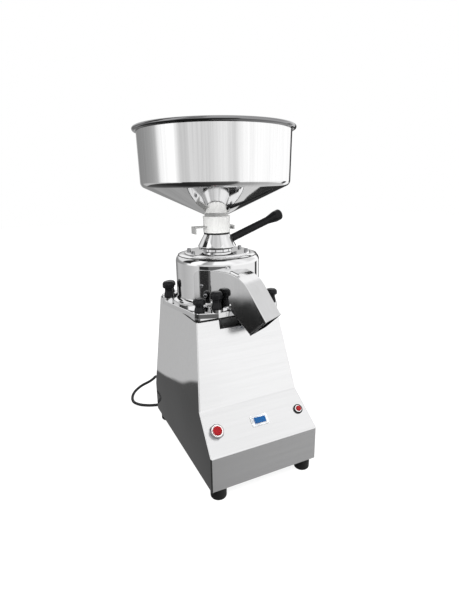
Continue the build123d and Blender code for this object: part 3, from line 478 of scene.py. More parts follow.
def add_node(nodes: bpy.types.Nodes, kind: str, values: dict[str | int, object] | None = None,
             **settings: object) -> bpy.types.Node:
    """Adds one shader node with its settings and values.

    Args:
        nodes: The nodes of the material, group or world.
        kind: Blender's name for the type of node.
        values: Default values of its inputs, by their name or number.
        **settings: The node's own settings.

    Returns:
        The new node.
    """
    node = nodes.new(kind)
    for name, setting in settings.items():
        setattr(node, name, setting)
    for socket, value in (values or {}).items():
        node.inputs[socket].default_value = value
    return node


def lathe_group() -> bpy.types.NodeTree:
    """Group that turns a place into (radius, angle, height) about the grinding axis.

    Returns:
        The group, with Vector as its input and output.
    """
    group, entry, leave = new_group(
        "lathe_coordinates", {"Vector": ("NodeSocketVector", None)}, {"Vector": "NodeSocketVector"})
    nodes = group.nodes
    links = group.links
    shift = add_node(nodes, "ShaderNodeVectorMath", {1: (AXIS[0], AXIS[1], 0)}, operation="SUBTRACT")
    split = add_node(nodes, "ShaderNodeSeparateXYZ")
    angle = add_node(nodes, "ShaderNodeMath", operation="ARCTAN2")
    level = add_node(nodes, "ShaderNodeVectorMath", {1: (1, 1, 0)}, operation="MULTIPLY")
    radius = add_node(nodes, "ShaderNodeVectorMath", operation="LENGTH")
    scaled = add_node(nodes, "ShaderNodeMath", {1: TURN_SCALE}, operation="MULTIPLY")
    whole = add_node(nodes, "ShaderNodeCombineXYZ")
    links.new(entry.outputs["Vector"], shift.inputs[0])
    links.new(shift.outputs[0], split.inputs[0])
    links.new(split.outputs["Y"], angle.inputs[0])
    links.new(split.outputs["X"], angle.inputs[1])
    links.new(shift.outputs[0], level.inputs[0])
    links.new(level.outputs[0], radius.inputs[0])
    links.new(radius.outputs["Value"], whole.inputs["X"])
    links.new(angle.outputs[0], scaled.inputs[0])
    links.new(scaled.outputs[0], whole.inputs["Y"])
    links.new(split.outputs["Z"], whole.inputs["Z"])
    links.new(whole.outputs[0], leave.inputs["Vector"])
    return group


def grain_group() -> bpy.types.NodeTree:
    """Group that gives the fine drawn lines of brushed, spun or turned metal.

    Returns:
        The group, with the inputs Vector and Density and the outputs Height and Shade.
    """
    group, entry, leave = new_group(
        "drawn_grain",
        {"Vector": ("NodeSocketVector", None), "Density": ("NodeSocketFloat", 900.0)},
        {"Height": "NodeSocketFloat", "Shade": "NodeSocketFloat"})
    nodes = group.nodes
    links = group.links
    fine = add_node(nodes, "ShaderNodeTexNoise", {"Detail": 3.0, "Roughness": 0.65})
    slower = add_node(nodes, "ShaderNodeMath", {1: BROAD_SHARE}, operation="MULTIPLY")
    broad = add_node(nodes, "ShaderNodeTexNoise", {"Detail": 2.0})
    blend = add_node(nodes, "ShaderNodeMath", operation="MULTIPLY")
    for source, target in ((fine, entry.outputs["Density"]), (broad, slower.outputs[0])):
        links.new(entry.outputs["Vector"], source.inputs["Vector"])
        links.new(target, source.inputs["Scale"])
    links.new(entry.outputs["Density"], slower.inputs[0])
    links.new(fine.outputs["Fac"], blend.inputs[0])
    links.new(broad.outputs["Fac"], blend.inputs[1])
    links.new(fine.outputs["Fac"], leave.inputs["Height"])
    links.new(blend.outputs[0], leave.inputs["Shade"])
    return group


def marks_group() -> bpy.types.NodeTree:
    """Group that gives the soft smudges and light wear of a handled surface.

    Returns:
        The group, with the inputs Vector and Density and the output Smudge.
    """
    group, entry, leave = new_group(
        "handling_marks",
        {"Vector": ("NodeSocketVector", None), "Density": ("NodeSocketFloat", 18.0)},
        {"Smudge": "NodeSocketFloat"})
    nodes = group.nodes
    links = group.links
    cloud = add_node(nodes, "ShaderNodeTexNoise", {"Detail": 5.0, "Roughness": 0.6, "Distortion": 0.6})
    spread = add_node(nodes, "ShaderNodeMapRange", {"From Min": 0.35, "From Max": 0.75})
    links.new(entry.outputs["Vector"], cloud.inputs["Vector"])
    links.new(entry.outputs["Density"], cloud.inputs["Scale"])
    links.new(cloud.outputs["Fac"], spread.inputs["Value"])
    links.new(spread.outputs["Result"], leave.inputs["Smudge"])
    return group


def skin_group() -> bpy.types.NodeTree:
    """Group that gives the pebbled skin of moulded plastic, rubber, castings and grit.

    Returns:
        The group, with the inputs Vector and Density and the outputs Height and Shade.
    """
    group, entry, leave = new_group(
        "pebbled_skin",
        {"Vector": ("NodeSocketVector", None), "Density": ("NodeSocketFloat", 1200.0)},
        {"Height": "NodeSocketFloat", "Shade": "NodeSocketFloat"})
    nodes = group.nodes
    links = group.links
    cells = add_node(nodes, "ShaderNodeTexVoronoi")
    cloud = add_node(nodes, "ShaderNodeTexNoise", {"Detail": 4.0})
    mix = add_node(nodes, "ShaderNodeMath", operation="ADD")
    for source in (cells, cloud):
        links.new(entry.outputs["Vector"], source.inputs["Vector"])
        links.new(entry.outputs["Density"], source.inputs["Scale"])
    links.new(cells.outputs["Distance"], mix.inputs[0])
    links.new(cloud.outputs["Fac"], mix.inputs[1])
    links.new(mix.outputs[0], leave.inputs["Height"])
    links.new(cloud.outputs["Fac"], leave.inputs["Shade"])
    return group


class Effects:
    """The node groups that the finishes share."""

    def __init__(self) -> None:
        """Builds each group once."""
        self.lathe = lathe_group()
        self.grain = grain_group()
        self.marks = marks_group()
        self.skin = skin_group()


EFFECTS = Effects()


@dataclass(frozen=True)
class Finish:
    """One material: its colour, gloss and fine surface.

    Args:
        name: Name of the material.
        color: Main colour.
        shade: Colour in the marks and hollows.
        metallic: 1 for bare metal.
        roughness: Plain roughness.
        spread: How much the marks add to the roughness.
        grain: Which way the drawn lines run.
        density: How fine the grain or skin is.
        relief: Height of the grain or skin, in metres.
        ripple: Height of the broad waves of thin sheet, in metres.
        satin: How much the faces towards the front add to the roughness.
        coat: Weight of a clear coat.
        specular: Specular level.
    """

    name: str
    color: Color
    shade: Color
    metallic: float = 0.0
    roughness: float = 0.4
    spread: float = 0.08
    grain: Grain = Grain.NONE
    density: float = 900.0
    relief: float = 0.00002
    coat: float = 0.0
    specular: float = 0.5
    ripple: float = 0.0
    satin: float = 0.0

    @cache
    def build(self) -> bpy.types.Material:
        """Makes the material, once for each finish.

        Returns:
            The material.
        """
        material = bpy.data.materials.new(f"{self.name}_finish")
        material.use_nodes = True
        nodes = material.node_tree.nodes
        links = material.node_tree.links
        shader = nodes["Principled BSDF"]
        shader.inputs["Metallic"].default_value = self.metallic
        shader.inputs["Coat Weight"].default_value = self.coat
        shader.inputs["Coat Roughness"].default_value = COAT_ROUGHNESS
        shader.inputs["Specular IOR Level"].default_value = self.specular
        where = nodes.new("ShaderNodeTexCoord").outputs["Object"]
        marks = self._group(nodes, EFFECTS.marks)
        links.new(where, marks.inputs["Vector"])
        surface = self._surface(nodes, links, where)
        tint = add_node(nodes, "ShaderNodeMix", {"A": (*self.color, 1), "B": (*self.shade, 1)},
                        data_type="RGBA")
        links.new(surface.outputs["Shade"], tint.inputs["Factor"])
        links.new(tint.outputs["Result"], shader.inputs["Base Color"])
        gloss = add_node(nodes, "ShaderNodeMapRange",
                         {"To Min": self.roughness, "To Max": self.roughness + self.spread})
        links.new(marks.outputs["Smudge"], gloss.inputs["Value"])
        links.new(self._with_satin(nodes, links, gloss.outputs["Result"]), shader.inputs["Roughness"])
        bump = add_node(nodes, "ShaderNodeBump", {"Strength": RELIEF_STRENGTH, "Distance": self.relief})
        links.new(surface.outputs["Height"], bump.inputs["Height"])
        links.new(bump.outputs["Normal"], shader.inputs["Normal"])
        if self.ripple > 0:
            self._add_ripple(nodes, links, where, bump)
        return material

    def _with_satin(self, nodes: bpy.types.Nodes, links: bpy.types.NodeLinks,
                    roughness: bpy.types.NodeSocket) -> bpy.types.NodeSocket:
        """Adds the roughness of faces that look to the front.

        Args:
            nodes: The material's nodes.
            links: The material's links.
            roughness: Socket with the roughness so far.

        Returns:
            Socket with the roughness of all faces.
        """
        if self.satin <= 0:
            return roughness
        split = nodes.new("ShaderNodeSeparateXYZ")
        links.new(nodes.new("ShaderNodeNewGeometry").outputs["True Normal"], split.inputs[0])
        facing = add_node(nodes, "ShaderNodeMapRange",
                          {"From Min": SATIN_START, "From Max": SATIN_END, "To Max": self.satin})
        links.new(split.outputs["Y"], facing.inputs["Value"])
        total = add_node(nodes, "ShaderNodeMath", operation="ADD")
        links.new(roughness, total.inputs[0])
        links.new(facing.outputs["Result"], total.inputs[1])
        return total.outputs[0]

    def _add_ripple(self, nodes: bpy.types.Nodes, links: bpy.types.NodeLinks,
                    where: bpy.types.NodeSocket, bump: bpy.types.Node) -> None:
        """Lets the broad waves of a thin sheet bend its reflections.

        Args:
            nodes: The material's nodes.
            links: The material's links.
            where: Socket with the place on the piece.
            bump: The node that gives the fine relief.
        """
        waves = add_node(nodes, "ShaderNodeTexNoise", {"Scale": WAVE_SCALE, "Detail": 0.0})
        broad = add_node(nodes, "ShaderNodeBump", {"Strength": 1.0, "Distance": self.ripple})
        links.new(where, waves.inputs["Vector"])
        links.new(waves.outputs["Fac"], broad.inputs["Height"])
        links.new(broad.outputs["Normal"], bump.inputs["Normal"])

    def _group(self, nodes: bpy.types.Nodes, tree: bpy.types.NodeTree) -> bpy.types.Node:
        """Places one shared group in the material."""
        return add_node(nodes, "ShaderNodeGroup", node_tree=tree)

    def _surface(self, nodes: bpy.types.Nodes, links: bpy.types.NodeLinks,
                 where: bpy.types.NodeSocket) -> bpy.types.Node:
        """Adds the drawn grain or the pebbled skin.

        Args:
            nodes: The material's nodes.
            links: The material's links.
            where: Socket with the place on the piece.

        Returns:
            The group node with the outputs Height and Shade.
        """
        tree = EFFECTS.skin if self.grain is Grain.NONE else EFFECTS.grain
        surface = self._group(nodes, tree)
        surface.inputs["Density"].default_value = self.density
        if self.grain in (Grain.AROUND, Grain.UPRIGHT):
            lathe = self._group(nodes, EFFECTS.lathe)
            links.new(where, lathe.inputs["Vector"])
            where = lathe.outputs["Vector"]
        stretch = add_node(nodes, "ShaderNodeMapping", {"Scale": GRAIN_SCALES[self.grain]})
        links.new(where, stretch.inputs["Vector"])
        links.new(stretch.outputs["Vector"], surface.inputs["Vector"])
        return surface


MIRROR_STEEL = Finish("mirror_steel", (0.86, 0.86, 0.865), (0.78, 0.78, 0.785), 1.0, 0.03, 0.04,
                      Grain.AROUND, 700, 0.000003)
# Spun steel: its real grain, plus a dark shade colour that paints reflection streaks up the hopper's wall
SPUN_STEEL = Finish("spun_steel", (1.00, 1.00, 1.00), (0.44, 0.44, 0.445), 1.0, 0.05, 0.04,
                    Grain.UPRIGHT, 420, 0.000012)
# The rolled rim is the hopper's own steel in darker colours: painted shade along the rim
RIM_STEEL_PAINTED_SHADE = Finish("rim_steel_painted_shade", (0.34, 0.34, 0.345), (0.10, 0.10, 0.105), 1.0, 0.05, 0.05,
                   Grain.AROUND, 500, 0.000006)
BODY_STEEL = Finish("body_steel", (0.86, 0.86, 0.865), (0.74, 0.74, 0.745), 1.0, 0.03, 0.02,
                    Grain.ALONG_X, 900, 0.000003, ripple=0.0009, satin=0.20)
PLATE_STEEL = Finish("plate_steel", (0.80, 0.80, 0.805), (0.66, 0.66, 0.665), 1.0, 0.07, 0.08,
                     Grain.ALONG_X, 700, 0.000006, ripple=0.0004)
CHUTE_STEEL = Finish("chute_steel", (0.80, 0.80, 0.805), (0.60, 0.60, 0.605), 1.0, 0.07, 0.04,
                     Grain.ALONG_Z, 700, 0.000006, ripple=0.0004)
CHROME = Finish("chrome_plate", (0.46, 0.46, 0.47), (0.20, 0.20, 0.21), 1.0, 0.05, 0.05,
                Grain.NONE, 300, 0.000003)
ZINC = Finish("zinc_plate", (0.46, 0.46, 0.47), (0.26, 0.26, 0.27), 1.0, 0.16, 0.12,
              Grain.NONE, 900, 0.000015)
GALVANISED = Finish("galvanised_sheet", (0.60, 0.61, 0.62), (0.48, 0.50, 0.52), 1.0, 0.38, 0.15,
                    Grain.NONE, 120, 0.00001)
TURNED_STEEL = Finish("turned_steel", (0.66, 0.66, 0.67), (0.52, 0.52, 0.53), 1.0, 0.22, 0.10,
                      Grain.AROUND, 900, 0.00001)
PHENOLIC = Finish("black_phenolic", (0.006, 0.006, 0.007), (0.012, 0.012, 0.013), 0.0, 0.12, 0.10,
                  Grain.NONE, 500, 0.00001, specular=0.16)
RUBBER = Finish("black_rubber", (0.008, 0.008, 0.008), (0.018, 0.018, 0.018), 0.0, 0.50, 0.15,
                Grain.NONE, 900, 0.00003, specular=0.25)
SHEATH = Finish("cord_sheath", (0.009, 0.009, 0.010), (0.02, 0.02, 0.02), 0.0, 0.36, 0.12,
                Grain.NONE, 1500, 0.00002, specular=0.3)
NYLON = Finish("white_nylon", (0.90, 0.90, 0.885), (0.84, 0.84, 0.82), 0.0, 0.42, 0.12,
               Grain.AROUND, 500, 0.00002)
# The feed gate is the collar's white nylon, painted grey as the shade it lies in
GATE_NYLON_PAINTED_SHADE = Finish("gate_nylon_painted_shade", (0.50, 0.50, 0.49), (0.36, 0.36, 0.355), 0.0, 0.40, 0.12,
                    Grain.NONE, 700, 0.00002)
WHITE_PLASTIC = Finish("white_plastic", (0.84, 0.84, 0.83), (0.80, 0.80, 0.79), 0.0, 0.22, 0.08,
                       Grain.NONE, 900, 0.000006, coat=0.3)
RED_PLASTIC = Finish("red_plastic", (0.36, 0.004, 0.009), (0.20, 0.002, 0.005), 0.0, 0.16, 0.08,
                     Grain.NONE, 500, 0.000008, specular=0.3)
BLUE_PLASTIC = Finish("blue_plastic", (0.002, 0.055, 0.19), (0.004, 0.10, 0.30), 0.0, 0.14, 0.08,
                      Grain.NONE, 500, 0.000008, specular=0.25)
CAST_ALUMINIUM = Finish("cast_aluminium", (0.60, 0.61, 0.62), (0.46, 0.47, 0.48), 1.0, 0.45, 0.15,
                        Grain.NONE, 900, 0.00005)
CAST_IRON = Finish("cast_iron", (0.20, 0.20, 0.205), (0.12, 0.12, 0.12), 0.8, 0.55, 0.15,
                   Grain.NONE, 700, 0.00008)
EMERY = Finish("bonded_emery", (0.26, 0.24, 0.22), (0.10, 0.09, 0.085), 0.0, 0.85, 0.1,
               Grain.NONE, 900, 0.0004)
LAMINATIONS = Finish("stacked_laminations", (0.34, 0.34, 0.35), (0.18, 0.18, 0.19), 1.0, 0.42, 0.1,
                     Grain.AROUND, 1400, 0.00006)
COPPER = Finish("varnished_copper", (0.62, 0.24, 0.09), (0.42, 0.14, 0.05), 0.9, 0.32, 0.1,
                Grain.AROUND, 900, 0.0003)
BRASS = Finish("bright_brass", (0.78, 0.58, 0.24), (0.62, 0.44, 0.16), 1.0, 0.20, 0.1,
               Grain.NONE, 500, 0.00001)
# Near-black finish of blocks that paint the shade in a recess
GAP_PAINTED_SHADE = Finish("gap_painted_shade", (0.01, 0.01, 0.01), (0.014, 0.014, 0.014), 0.0, 0.7, 0.1,
                  Grain.NONE, 500, 0.00001)

SLOT_FINISHES: dict[str, Finish] = {
    "body_steel": BODY_STEEL,
    "galvanised": GALVANISED,
    "rubber": RUBBER,
    "cord_rubber": SHEATH,
    "screw_steel": ZINC,
    "polished_steel": PLATE_STEEL,
    "mirror_steel": MIRROR_STEEL,
    "turned_steel": TURNED_STEEL,
    "chrome": CHROME,
    "red_plastic": RED_PLASTIC,
    "blue_plastic": BLUE_PLASTIC,
    "white_plastic": WHITE_PLASTIC,
    "black_plastic": PHENOLIC,
    "nylon": NYLON,
    "cast_iron": CAST_IRON,
    "emery": EMERY,
    "cast_aluminium": CAST_ALUMINIUM,
    "lamination_steel": LAMINATIONS,
    "copper": COPPER,
    "brass": BRASS,
}


def dress(piece: bpy.types.Object, finish: Finish) -> None:
    """Gives a piece one finish all over."""
    piece.data.materials.clear()
    piece.data.materials.append(finish.build())


def hand_over(piece: bpy.types.Object, finish: Finish, node: str, stands_for: bool = True,
              angle: float = 35) -> bpy.types.Object:
    """Finishes a piece and ties it to the body of the CAD node that it belongs to.

    Args:
        piece: The modelled piece.
        finish: What it is made of.
        node: The CAD node that gives its body.
        stands_for: Whether the piece takes that node's place.
        angle: Edges sharper than this many degrees stay sharp.

    Returns:
        The piece.
    """
    even_shading(piece, angle)
    dress(piece, finish)
    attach(piece, frame["nodes"][node]["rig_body"])
    if stands_for:
        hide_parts(node)
    logger.info("%s: %d faces", piece.name, len(piece.data.polygons))
    return piece


def dress_cad_nodes() -> None:
    """Gives every CAD node that stays in view the finish of its material slot; the feed gate gets its white
    nylon painted grey as shade.
    """
    for node, slot in SLOTS.items():
        dress(frame["nodes"][node], SLOT_FINISHES[slot])
    dress(frame["nodes"]["feed_gate"], GATE_NYLON_PAINTED_SHADE)


# Pieces of the mill

@dataclass
class Cabinet:
    """Folded steel cabinet: plinth, sloping control panel and tapering tower."""

    plinth_height: float = 75 * MM
    crease_height: float = 134.5 * MM
    height: float = 303.5 * MM
    base_half: float = 119.5 * MM
    top_half: float = 92.5 * MM
    plinth_reach: float = 216 * MM
    crease_reach: float = 147 * MM
    top_reach: float = 100 * MM
    base_back: float = 140 * MM
    top_back: float = 127 * MM
    sheet: float = 1.5 * MM
    flange: float = 13 * MM
    bend: float = 2.6 * MM
    notch_half: float = 45 * MM
    notch_depth: float = 19.5 * MM
    notch_start: float = 60 * MM
    wall_spare: float = 2 * MM
    edge: float = 0.35 * MM

    def half_width(self, level: float) -> float:
        """Half the cabinet's width at a height above the plinth's bottom.

        Args:
            level: The height, in metres.

        Returns:
            Half the width, in metres.
        """
        if level <= self.plinth_height:
            return self.base_half
        share = (level - self.plinth_height) / (self.height - self.plinth_height)
        return self.base_half + share * (self.top_half - self.base_half)

    def front(self, level: float) -> float:
        """Place of the front along Y, relative to the grinding axis.

        Args:
            level: Height above the plinth's bottom, in metres.

        Returns:
            The place, in metres.
        """
        if level <= self.plinth_height:
            return -self.plinth_reach
        if level <= self.crease_height:
            share = (level - self.plinth_height) / (self.crease_height - self.plinth_height)
            return -self.plinth_reach + share * (self.plinth_reach - self.crease_reach)
        share = (level - self.crease_height) / (self.height - self.crease_height)
        return -self.crease_reach + share * (self.crease_reach - self.top_reach)

    def back(self, level: float) -> float:
        """Place of the rear wall along Y, relative to the grinding axis."""
        return self.base_back + level / self.height * (self.top_back - self.base_back)

    def shell(self) -> bpy.types.Object:
        """Models the folded shell from a block that is extruded level by level.

        Returns:
            The shell.
        """
        base = bottom_of("housing_shell")
        ground = block("cabinet_shell",
                       (-self.base_half, AXIS[1] - self.plinth_reach, base),
                       (self.base_half, AXIS[1] + self.base_back, base + self.plinth_height))
        for side in (-1, 1):
            bpy.ops.mesh.select_all(action="SELECT")
            bpy.ops.mesh.bisect(plane_co=(side * self.notch_half, 0, 0), plane_no=(1, 0, 0))
        levels = (self.plinth_height, self.crease_height, self.height - self.notch_depth, self.height)
        for low, high in zip(levels, levels[1:]):
            self._raise_top(ground, base + low, high - low)
            self._fit_level(ground, base, low, high)
        top = base + self.height
        self._open_end(ground, lambda at: at.z > top - NEAR)
        self._open_end(ground, lambda at: at.z < base + NEAR)
        self._open_rear(ground, base)
        notch = base + self.height - self.notch_depth
        middle = AXIS[1]
        pick(ground, Part.FACES, lambda at: (
            at.z > notch and abs(at.x) < self.notch_half and at.y < middle - self.notch_start))
        bpy.ops.mesh.delete(type="FACE")
        close_up(ground)
        self._bend_corners(ground)
        modify(ground, "SOLIDIFY", thickness=self.sheet, offset=-1)
        round_edges(ground, self.edge, 2, 40)
        return ground

    def _raise_top(self, piece: bpy.types.Object, height: float, rise: float) -> None:
        """Extrudes the flat top upwards."""
        pick(piece, Part.FACES, lambda at: at.z > height - NEAR)
        bpy.ops.mesh.extrude_region_move(TRANSFORM_OT_translate={"value": (0, 0, rise)})

    def _fit_level(self, piece: bpy.types.Object, base: float, low: float, high: float) -> None:
        """Draws the newest level in to its own width, front and back.

        Args:
            piece: The piece that is open in edit mode.
            base: Height of the plinth's bottom in the mill's frame.
            low: Height of the level below, above the plinth's bottom.
            high: Height of the newest level, above the plinth's bottom.
        """
        level = base + high
        ratio = self.half_width(high) / self.half_width(low)
        outer = self.half_width(low) - NEAR
        for side in (-1, 1):
            pick(piece, Part.VERTICES, lambda at: at.z > level - NEAR and at.x * side > outer)
            bpy.ops.transform.resize(value=(ratio, 1, 1), center_override=(0, 0, 0))
        for edge in (self.front, self.back):
            line = AXIS[1] + edge(low)
            pick(piece, Part.VERTICES, lambda at: at.z > level - NEAR and abs(at.y - line) < NEAR)
            bpy.ops.transform.translate(value=(0, edge(high) - edge(low), 0))

    def _open_end(self, piece: bpy.types.Object, test: Callable[[Vector], bool]) -> None:
        """Cuts an end open inside a flange.

        Args:
            piece: The piece that is open in edit mode.
            test: Says whether a face with this middle belongs to the end.
        """
        pick(piece, Part.FACES, test)
        bpy.ops.mesh.inset(thickness=self.flange)
        bpy.ops.mesh.delete(type="FACE")

    def _open_rear(self, piece: bpy.types.Object, base: float) -> None:
        """Cuts the rear wall open inside a flange.

        Args:
            piece: The piece that is open in edit mode.
            base: Height of the plinth's bottom in the mill's frame.
        """
        limit = AXIS[1] + self.top_back - self.wall_spare
        low = base + self.flange
        pick(piece, Part.FACES, lambda at: at.y > limit and at.z > low)
        bpy.ops.mesh.inset(thickness=self.flange)
        bpy.ops.mesh.delete(type="FACE")

    def _bend_corners(self, piece: bpy.types.Object) -> None:
        """Rounds the bends between the panels, but not the cut edges."""
        modify(piece, "BEVEL", width=self.bend, segments=4, limit_method="ANGLE",
               angle_limit=math.radians(14), use_clamp_overlap=True)

    def build(self) -> None:
        """Models and dresses the cabinet."""
        hand_over(self.shell(), BODY_STEEL, "housing_shell", angle=40)


@dataclass
class PlateShadowStrips:
    """Black rubber strips that paint the shadow under the polished top plate and along its step."""

    half_width: float = 94.5 * MM
    front: float = 102 * MM
    back: float = 129 * MM
    corner: float = 10 * MM
    height: float = 1.7 * MM
    step: float = 2.2 * MM
    lip: float = 4.2 * MM
    thickness: float = 1.2 * MM
    proud: float = 0.2 * MM
    underside_strip_drop: float = 0.4 * MM
    step_strip_drop: float = 0.3 * MM

    def strip(self, name: str, inset: float, low: float) -> None:
        """Models and dresses one strip that follows the plate's outline.

        Args:
            name: Name of the strip.
            inset: How far it lies inside the plate's outline.
            low: Height of its lower edge.
        """
        across = self.half_width - inset
        front = AXIS[1] - self.front + inset
        back = AXIS[1] + self.back - inset
        outline = rounded([(-across, front, self.corner), (across, front, self.corner),
                           (across, back, self.corner), (-across, back, self.corner)])
        piece = extruded(name, [(x, y, low) for x, y in outline], (0, 0, self.height))
        open_piece(piece)
        pick(piece, Part.FACES, lambda at: abs(at.x) < self.corner and abs(at.y - AXIS[1]) < self.front / 2)
        bpy.ops.mesh.delete(type="FACE")
        bpy.ops.object.mode_set(mode="OBJECT")
        modify(piece, "SOLIDIFY", thickness=self.thickness, offset=-1)
        hand_over(piece, RUBBER, "top_plate", stands_for=False)

    def build(self) -> None:
        """Models both strips."""
        low = bottom_of("top_plate")
        # Painted shadow: one strip under the plate, one along its step
        self.strip("plate_underside_shadow_strip", -self.proud, low - self.underside_strip_drop)
        self.strip("plate_step_shadow_strip", self.step - self.proud, low + self.lip - self.step_strip_drop)


@dataclass
class Hopper:
    """Spun hopper with a rolled rim, standing in a white collar."""

    neck: float = 24 * MM
    neck_rise: float = 1.5 * MM
    neck_depth: float = 14 * MM
    neck_bend: float = 4 * MM
    cone_height: float = 61.5 * MM
    wall_height: float = 107.5 * MM
    base_radius: float = 153.5 * MM
    top_radius: float = 155.4 * MM
    bend: float = 12 * MM
    bead: float = 4.2 * MM
    sheet: float = 1.2 * MM
    segments: int = 160
    bead_segments: int = 20

    def bowl(self) -> bpy.types.Object:
        """Models neck, cone and wall as one spun sheet.

        Returns:
            The sheet.
        """
        foot = bottom_of("hopper_bowl")
        throat = foot + self.neck_depth
        corner = throat + self.cone_height
        rim = corner + self.wall_height
        outline = rounded([
            (self.neck, foot, 0),
            (self.neck, throat + self.neck_rise, self.neck_bend),
            (self.base_radius, corner, self.bend),
            (self.top_radius, rim, 0),
        ], closed=False, steps=8)
        piece = turned("hopper_sheet", outline, AXIS, self.segments, False)
        modify(piece, "SOLIDIFY", thickness=self.sheet, offset=-1)
        return piece

    def rim(self) -> bpy.types.Object:
        """Models the rolled bead round the rim.

        Returns:
            The bead.
        """
        height = top_of("hopper_bowl") - self.bead
        center = self.top_radius - self.sheet / 2 + self.bead
        outline = circle(center, height, self.bead, self.bead_segments)
        return turned("hopper_rim", outline, AXIS, self.segments)

    def build(self) -> None:
        """Models and dresses the hopper."""
        hand_over(self.bowl(), SPUN_STEEL, "hopper_bowl")
        # The rim's dark steel is painted shade
        hand_over(self.rim(), RIM_STEEL_PAINTED_SHADE, "hopper_bowl", stands_for=False)


@dataclass
class GrindingHead:
    """Drum, cover and adjusting hub above the cabinet."""

    drum: float = DRUM_RADIUS
    shoulder: float = 15 * MM
    groove_angle: float = 36.0
    bead: float = 0.9 * MM
    cover: float = 71.5 * MM
    cover_thickness: float = 7.5 * MM
    boss: float = 31 * MM
    boss_height: float = 6 * MM
    neck: float = 24 * MM
    bore: float = 20 * MM
    hub_base: float = 41 * MM
    hub_top: float = 25.5 * MM
    hub_foot: float = HUB_FOOT
    hub_rim: float = 2 * MM
    seat_step: float = 1 * MM
    clearance: float = 0.1 * MM
    fine_edge: float = 0.5 * MM
    cover_edge: float = 2.5 * MM
    boss_root: float = 1.5 * MM
    segments: int = 128

    # How far each dark ring stands from the edges that it lies between: inner, outer, lower, upper
    # The recess ring and the top ring paint the shade in the recess under the hub's cone and in the gap
    # under the collar
    recess_shade_offsets: Offsets = (-0.9 * MM, 4 * MM, 0.2 * MM, -0.1 * MM)
    top_shade_offsets: Offsets = (4.2 * MM, 2.3 * MM, -3.2 * MM, -0.05 * MM)
    cover_seal: Offsets = (-1 * MM, 1.4 * MM, -0.9 * MM, 2.4 * MM)

    def cover_disc(self) -> bpy.types.Object:
        """Models the cover with its boss.

        Returns:
            The cover.
        """
        top = top_of("chamber_cover")
        plate_top = top - self.boss_height
        plate = plate_top - self.cover_thickness
        outline = rounded([
            (self.neck + self.clearance, bottom_of("chamber_cover"), 0),
            (self.boss, bottom_of("chamber_cover"), 1 * MM),
            (self.boss, plate, 0),
            (self.cover, plate, 0),
            (self.cover, plate_top, self.cover_edge),
            (self.boss, plate_top, self.boss_root),
            (self.boss, top, 0.6 * MM),
            (self.neck + self.clearance, top, 0.4 * MM),
        ])
        return turned("cover_disc", outline, AXIS, self.segments)

    def hub(self) -> bpy.types.Object:
        """Models the cone-shaped adjusting hub.

        Returns:
            The hub.
        """
        low = bottom_of("adjusting_hub")
        top = top_of("adjusting_hub")
        seat = top_of("chamber_cover")
        cone = seat + self.hub_foot
        outline = rounded([
            (self.bore, low, 0),
            (self.neck, low, self.fine_edge),
            (self.neck, seat, 0),
            (self.boss - self.seat_step, seat, 0),
            (self.boss - self.seat_step, cone, 0),
            (self.hub_base, cone, 0.8 * MM),
            (self.hub_base, cone + self.hub_rim, 1.2 * MM),
            (self.hub_top, top, 1.5 * MM),
            (self.bore, top, self.fine_edge),
        ])
        return turned("hub_cone", outline, AXIS, self.segments)

    def dark_ring(self, name: str, node: str, edges: Offsets, offsets: Offsets) -> None:
        """Models and dresses a dark ring about the grinding axis, in the rubber finish; two of these rings
        are painted shade.

        Args:
            name: Name of the ring.
            node: The CAD node that it belongs to.
            edges: Inner radius, outer radius, lower and upper height that it lies between.
            offsets: How far it stands from each of them.
        """
        inner, outer, low, high = (edge + offset for edge, offset in zip(edges, offsets))
        outline = rounded([(inner, low, 0), (outer, low, 0.3 * MM), (outer, high, 0.3 * MM),
                           (inner, high, 0)])
        hand_over(turned(name, outline, AXIS, 96), RUBBER, node, stands_for=False)

    def seam_bead(self) -> None:
        """Models and dresses the dark bead in the groove of the drum's shoulder."""
        swing = math.radians(self.groove_angle)
        radius = self.drum - self.shoulder + self.shoulder * math.sin(swing)
        height = top_of("chamber_drum") - self.shoulder * (1 - math.cos(swing))
        ring = turned("shoulder_seam", circle(radius, height, self.bead, 10), AXIS, self.segments)
        hand_over(ring, RUBBER, "chamber_gasket", stands_for=False)

    def build(self) -> None:
        """Models and dresses the head."""
        hand_over(self.cover_disc(), MIRROR_STEEL, "chamber_cover")
        hand_over(self.hub(), MIRROR_STEEL, "adjusting_hub")
        seat = top_of("chamber_cover")
        cone = seat + self.hub_foot
        top = top_of("adjusting_hub")
        plate = seat - self.boss_height - self.cover_thickness
        # Painted shade: black rings in the recess under the hub's cone and on its top, under the collar
        self.dark_ring("hub_recess_shade_ring", "adjusting_hub", (self.boss, self.boss, seat, cone), self.recess_shade_offsets)
        self.dark_ring("hub_top_shade_ring", "adjusting_hub", (self.bore, self.hub_top, top, top), self.top_shade_offsets)
        self.dark_ring("cover_seal", "chamber_gasket", (self.cover, self.cover, plate, plate), self.cover_seal)
        self.seam_bead()


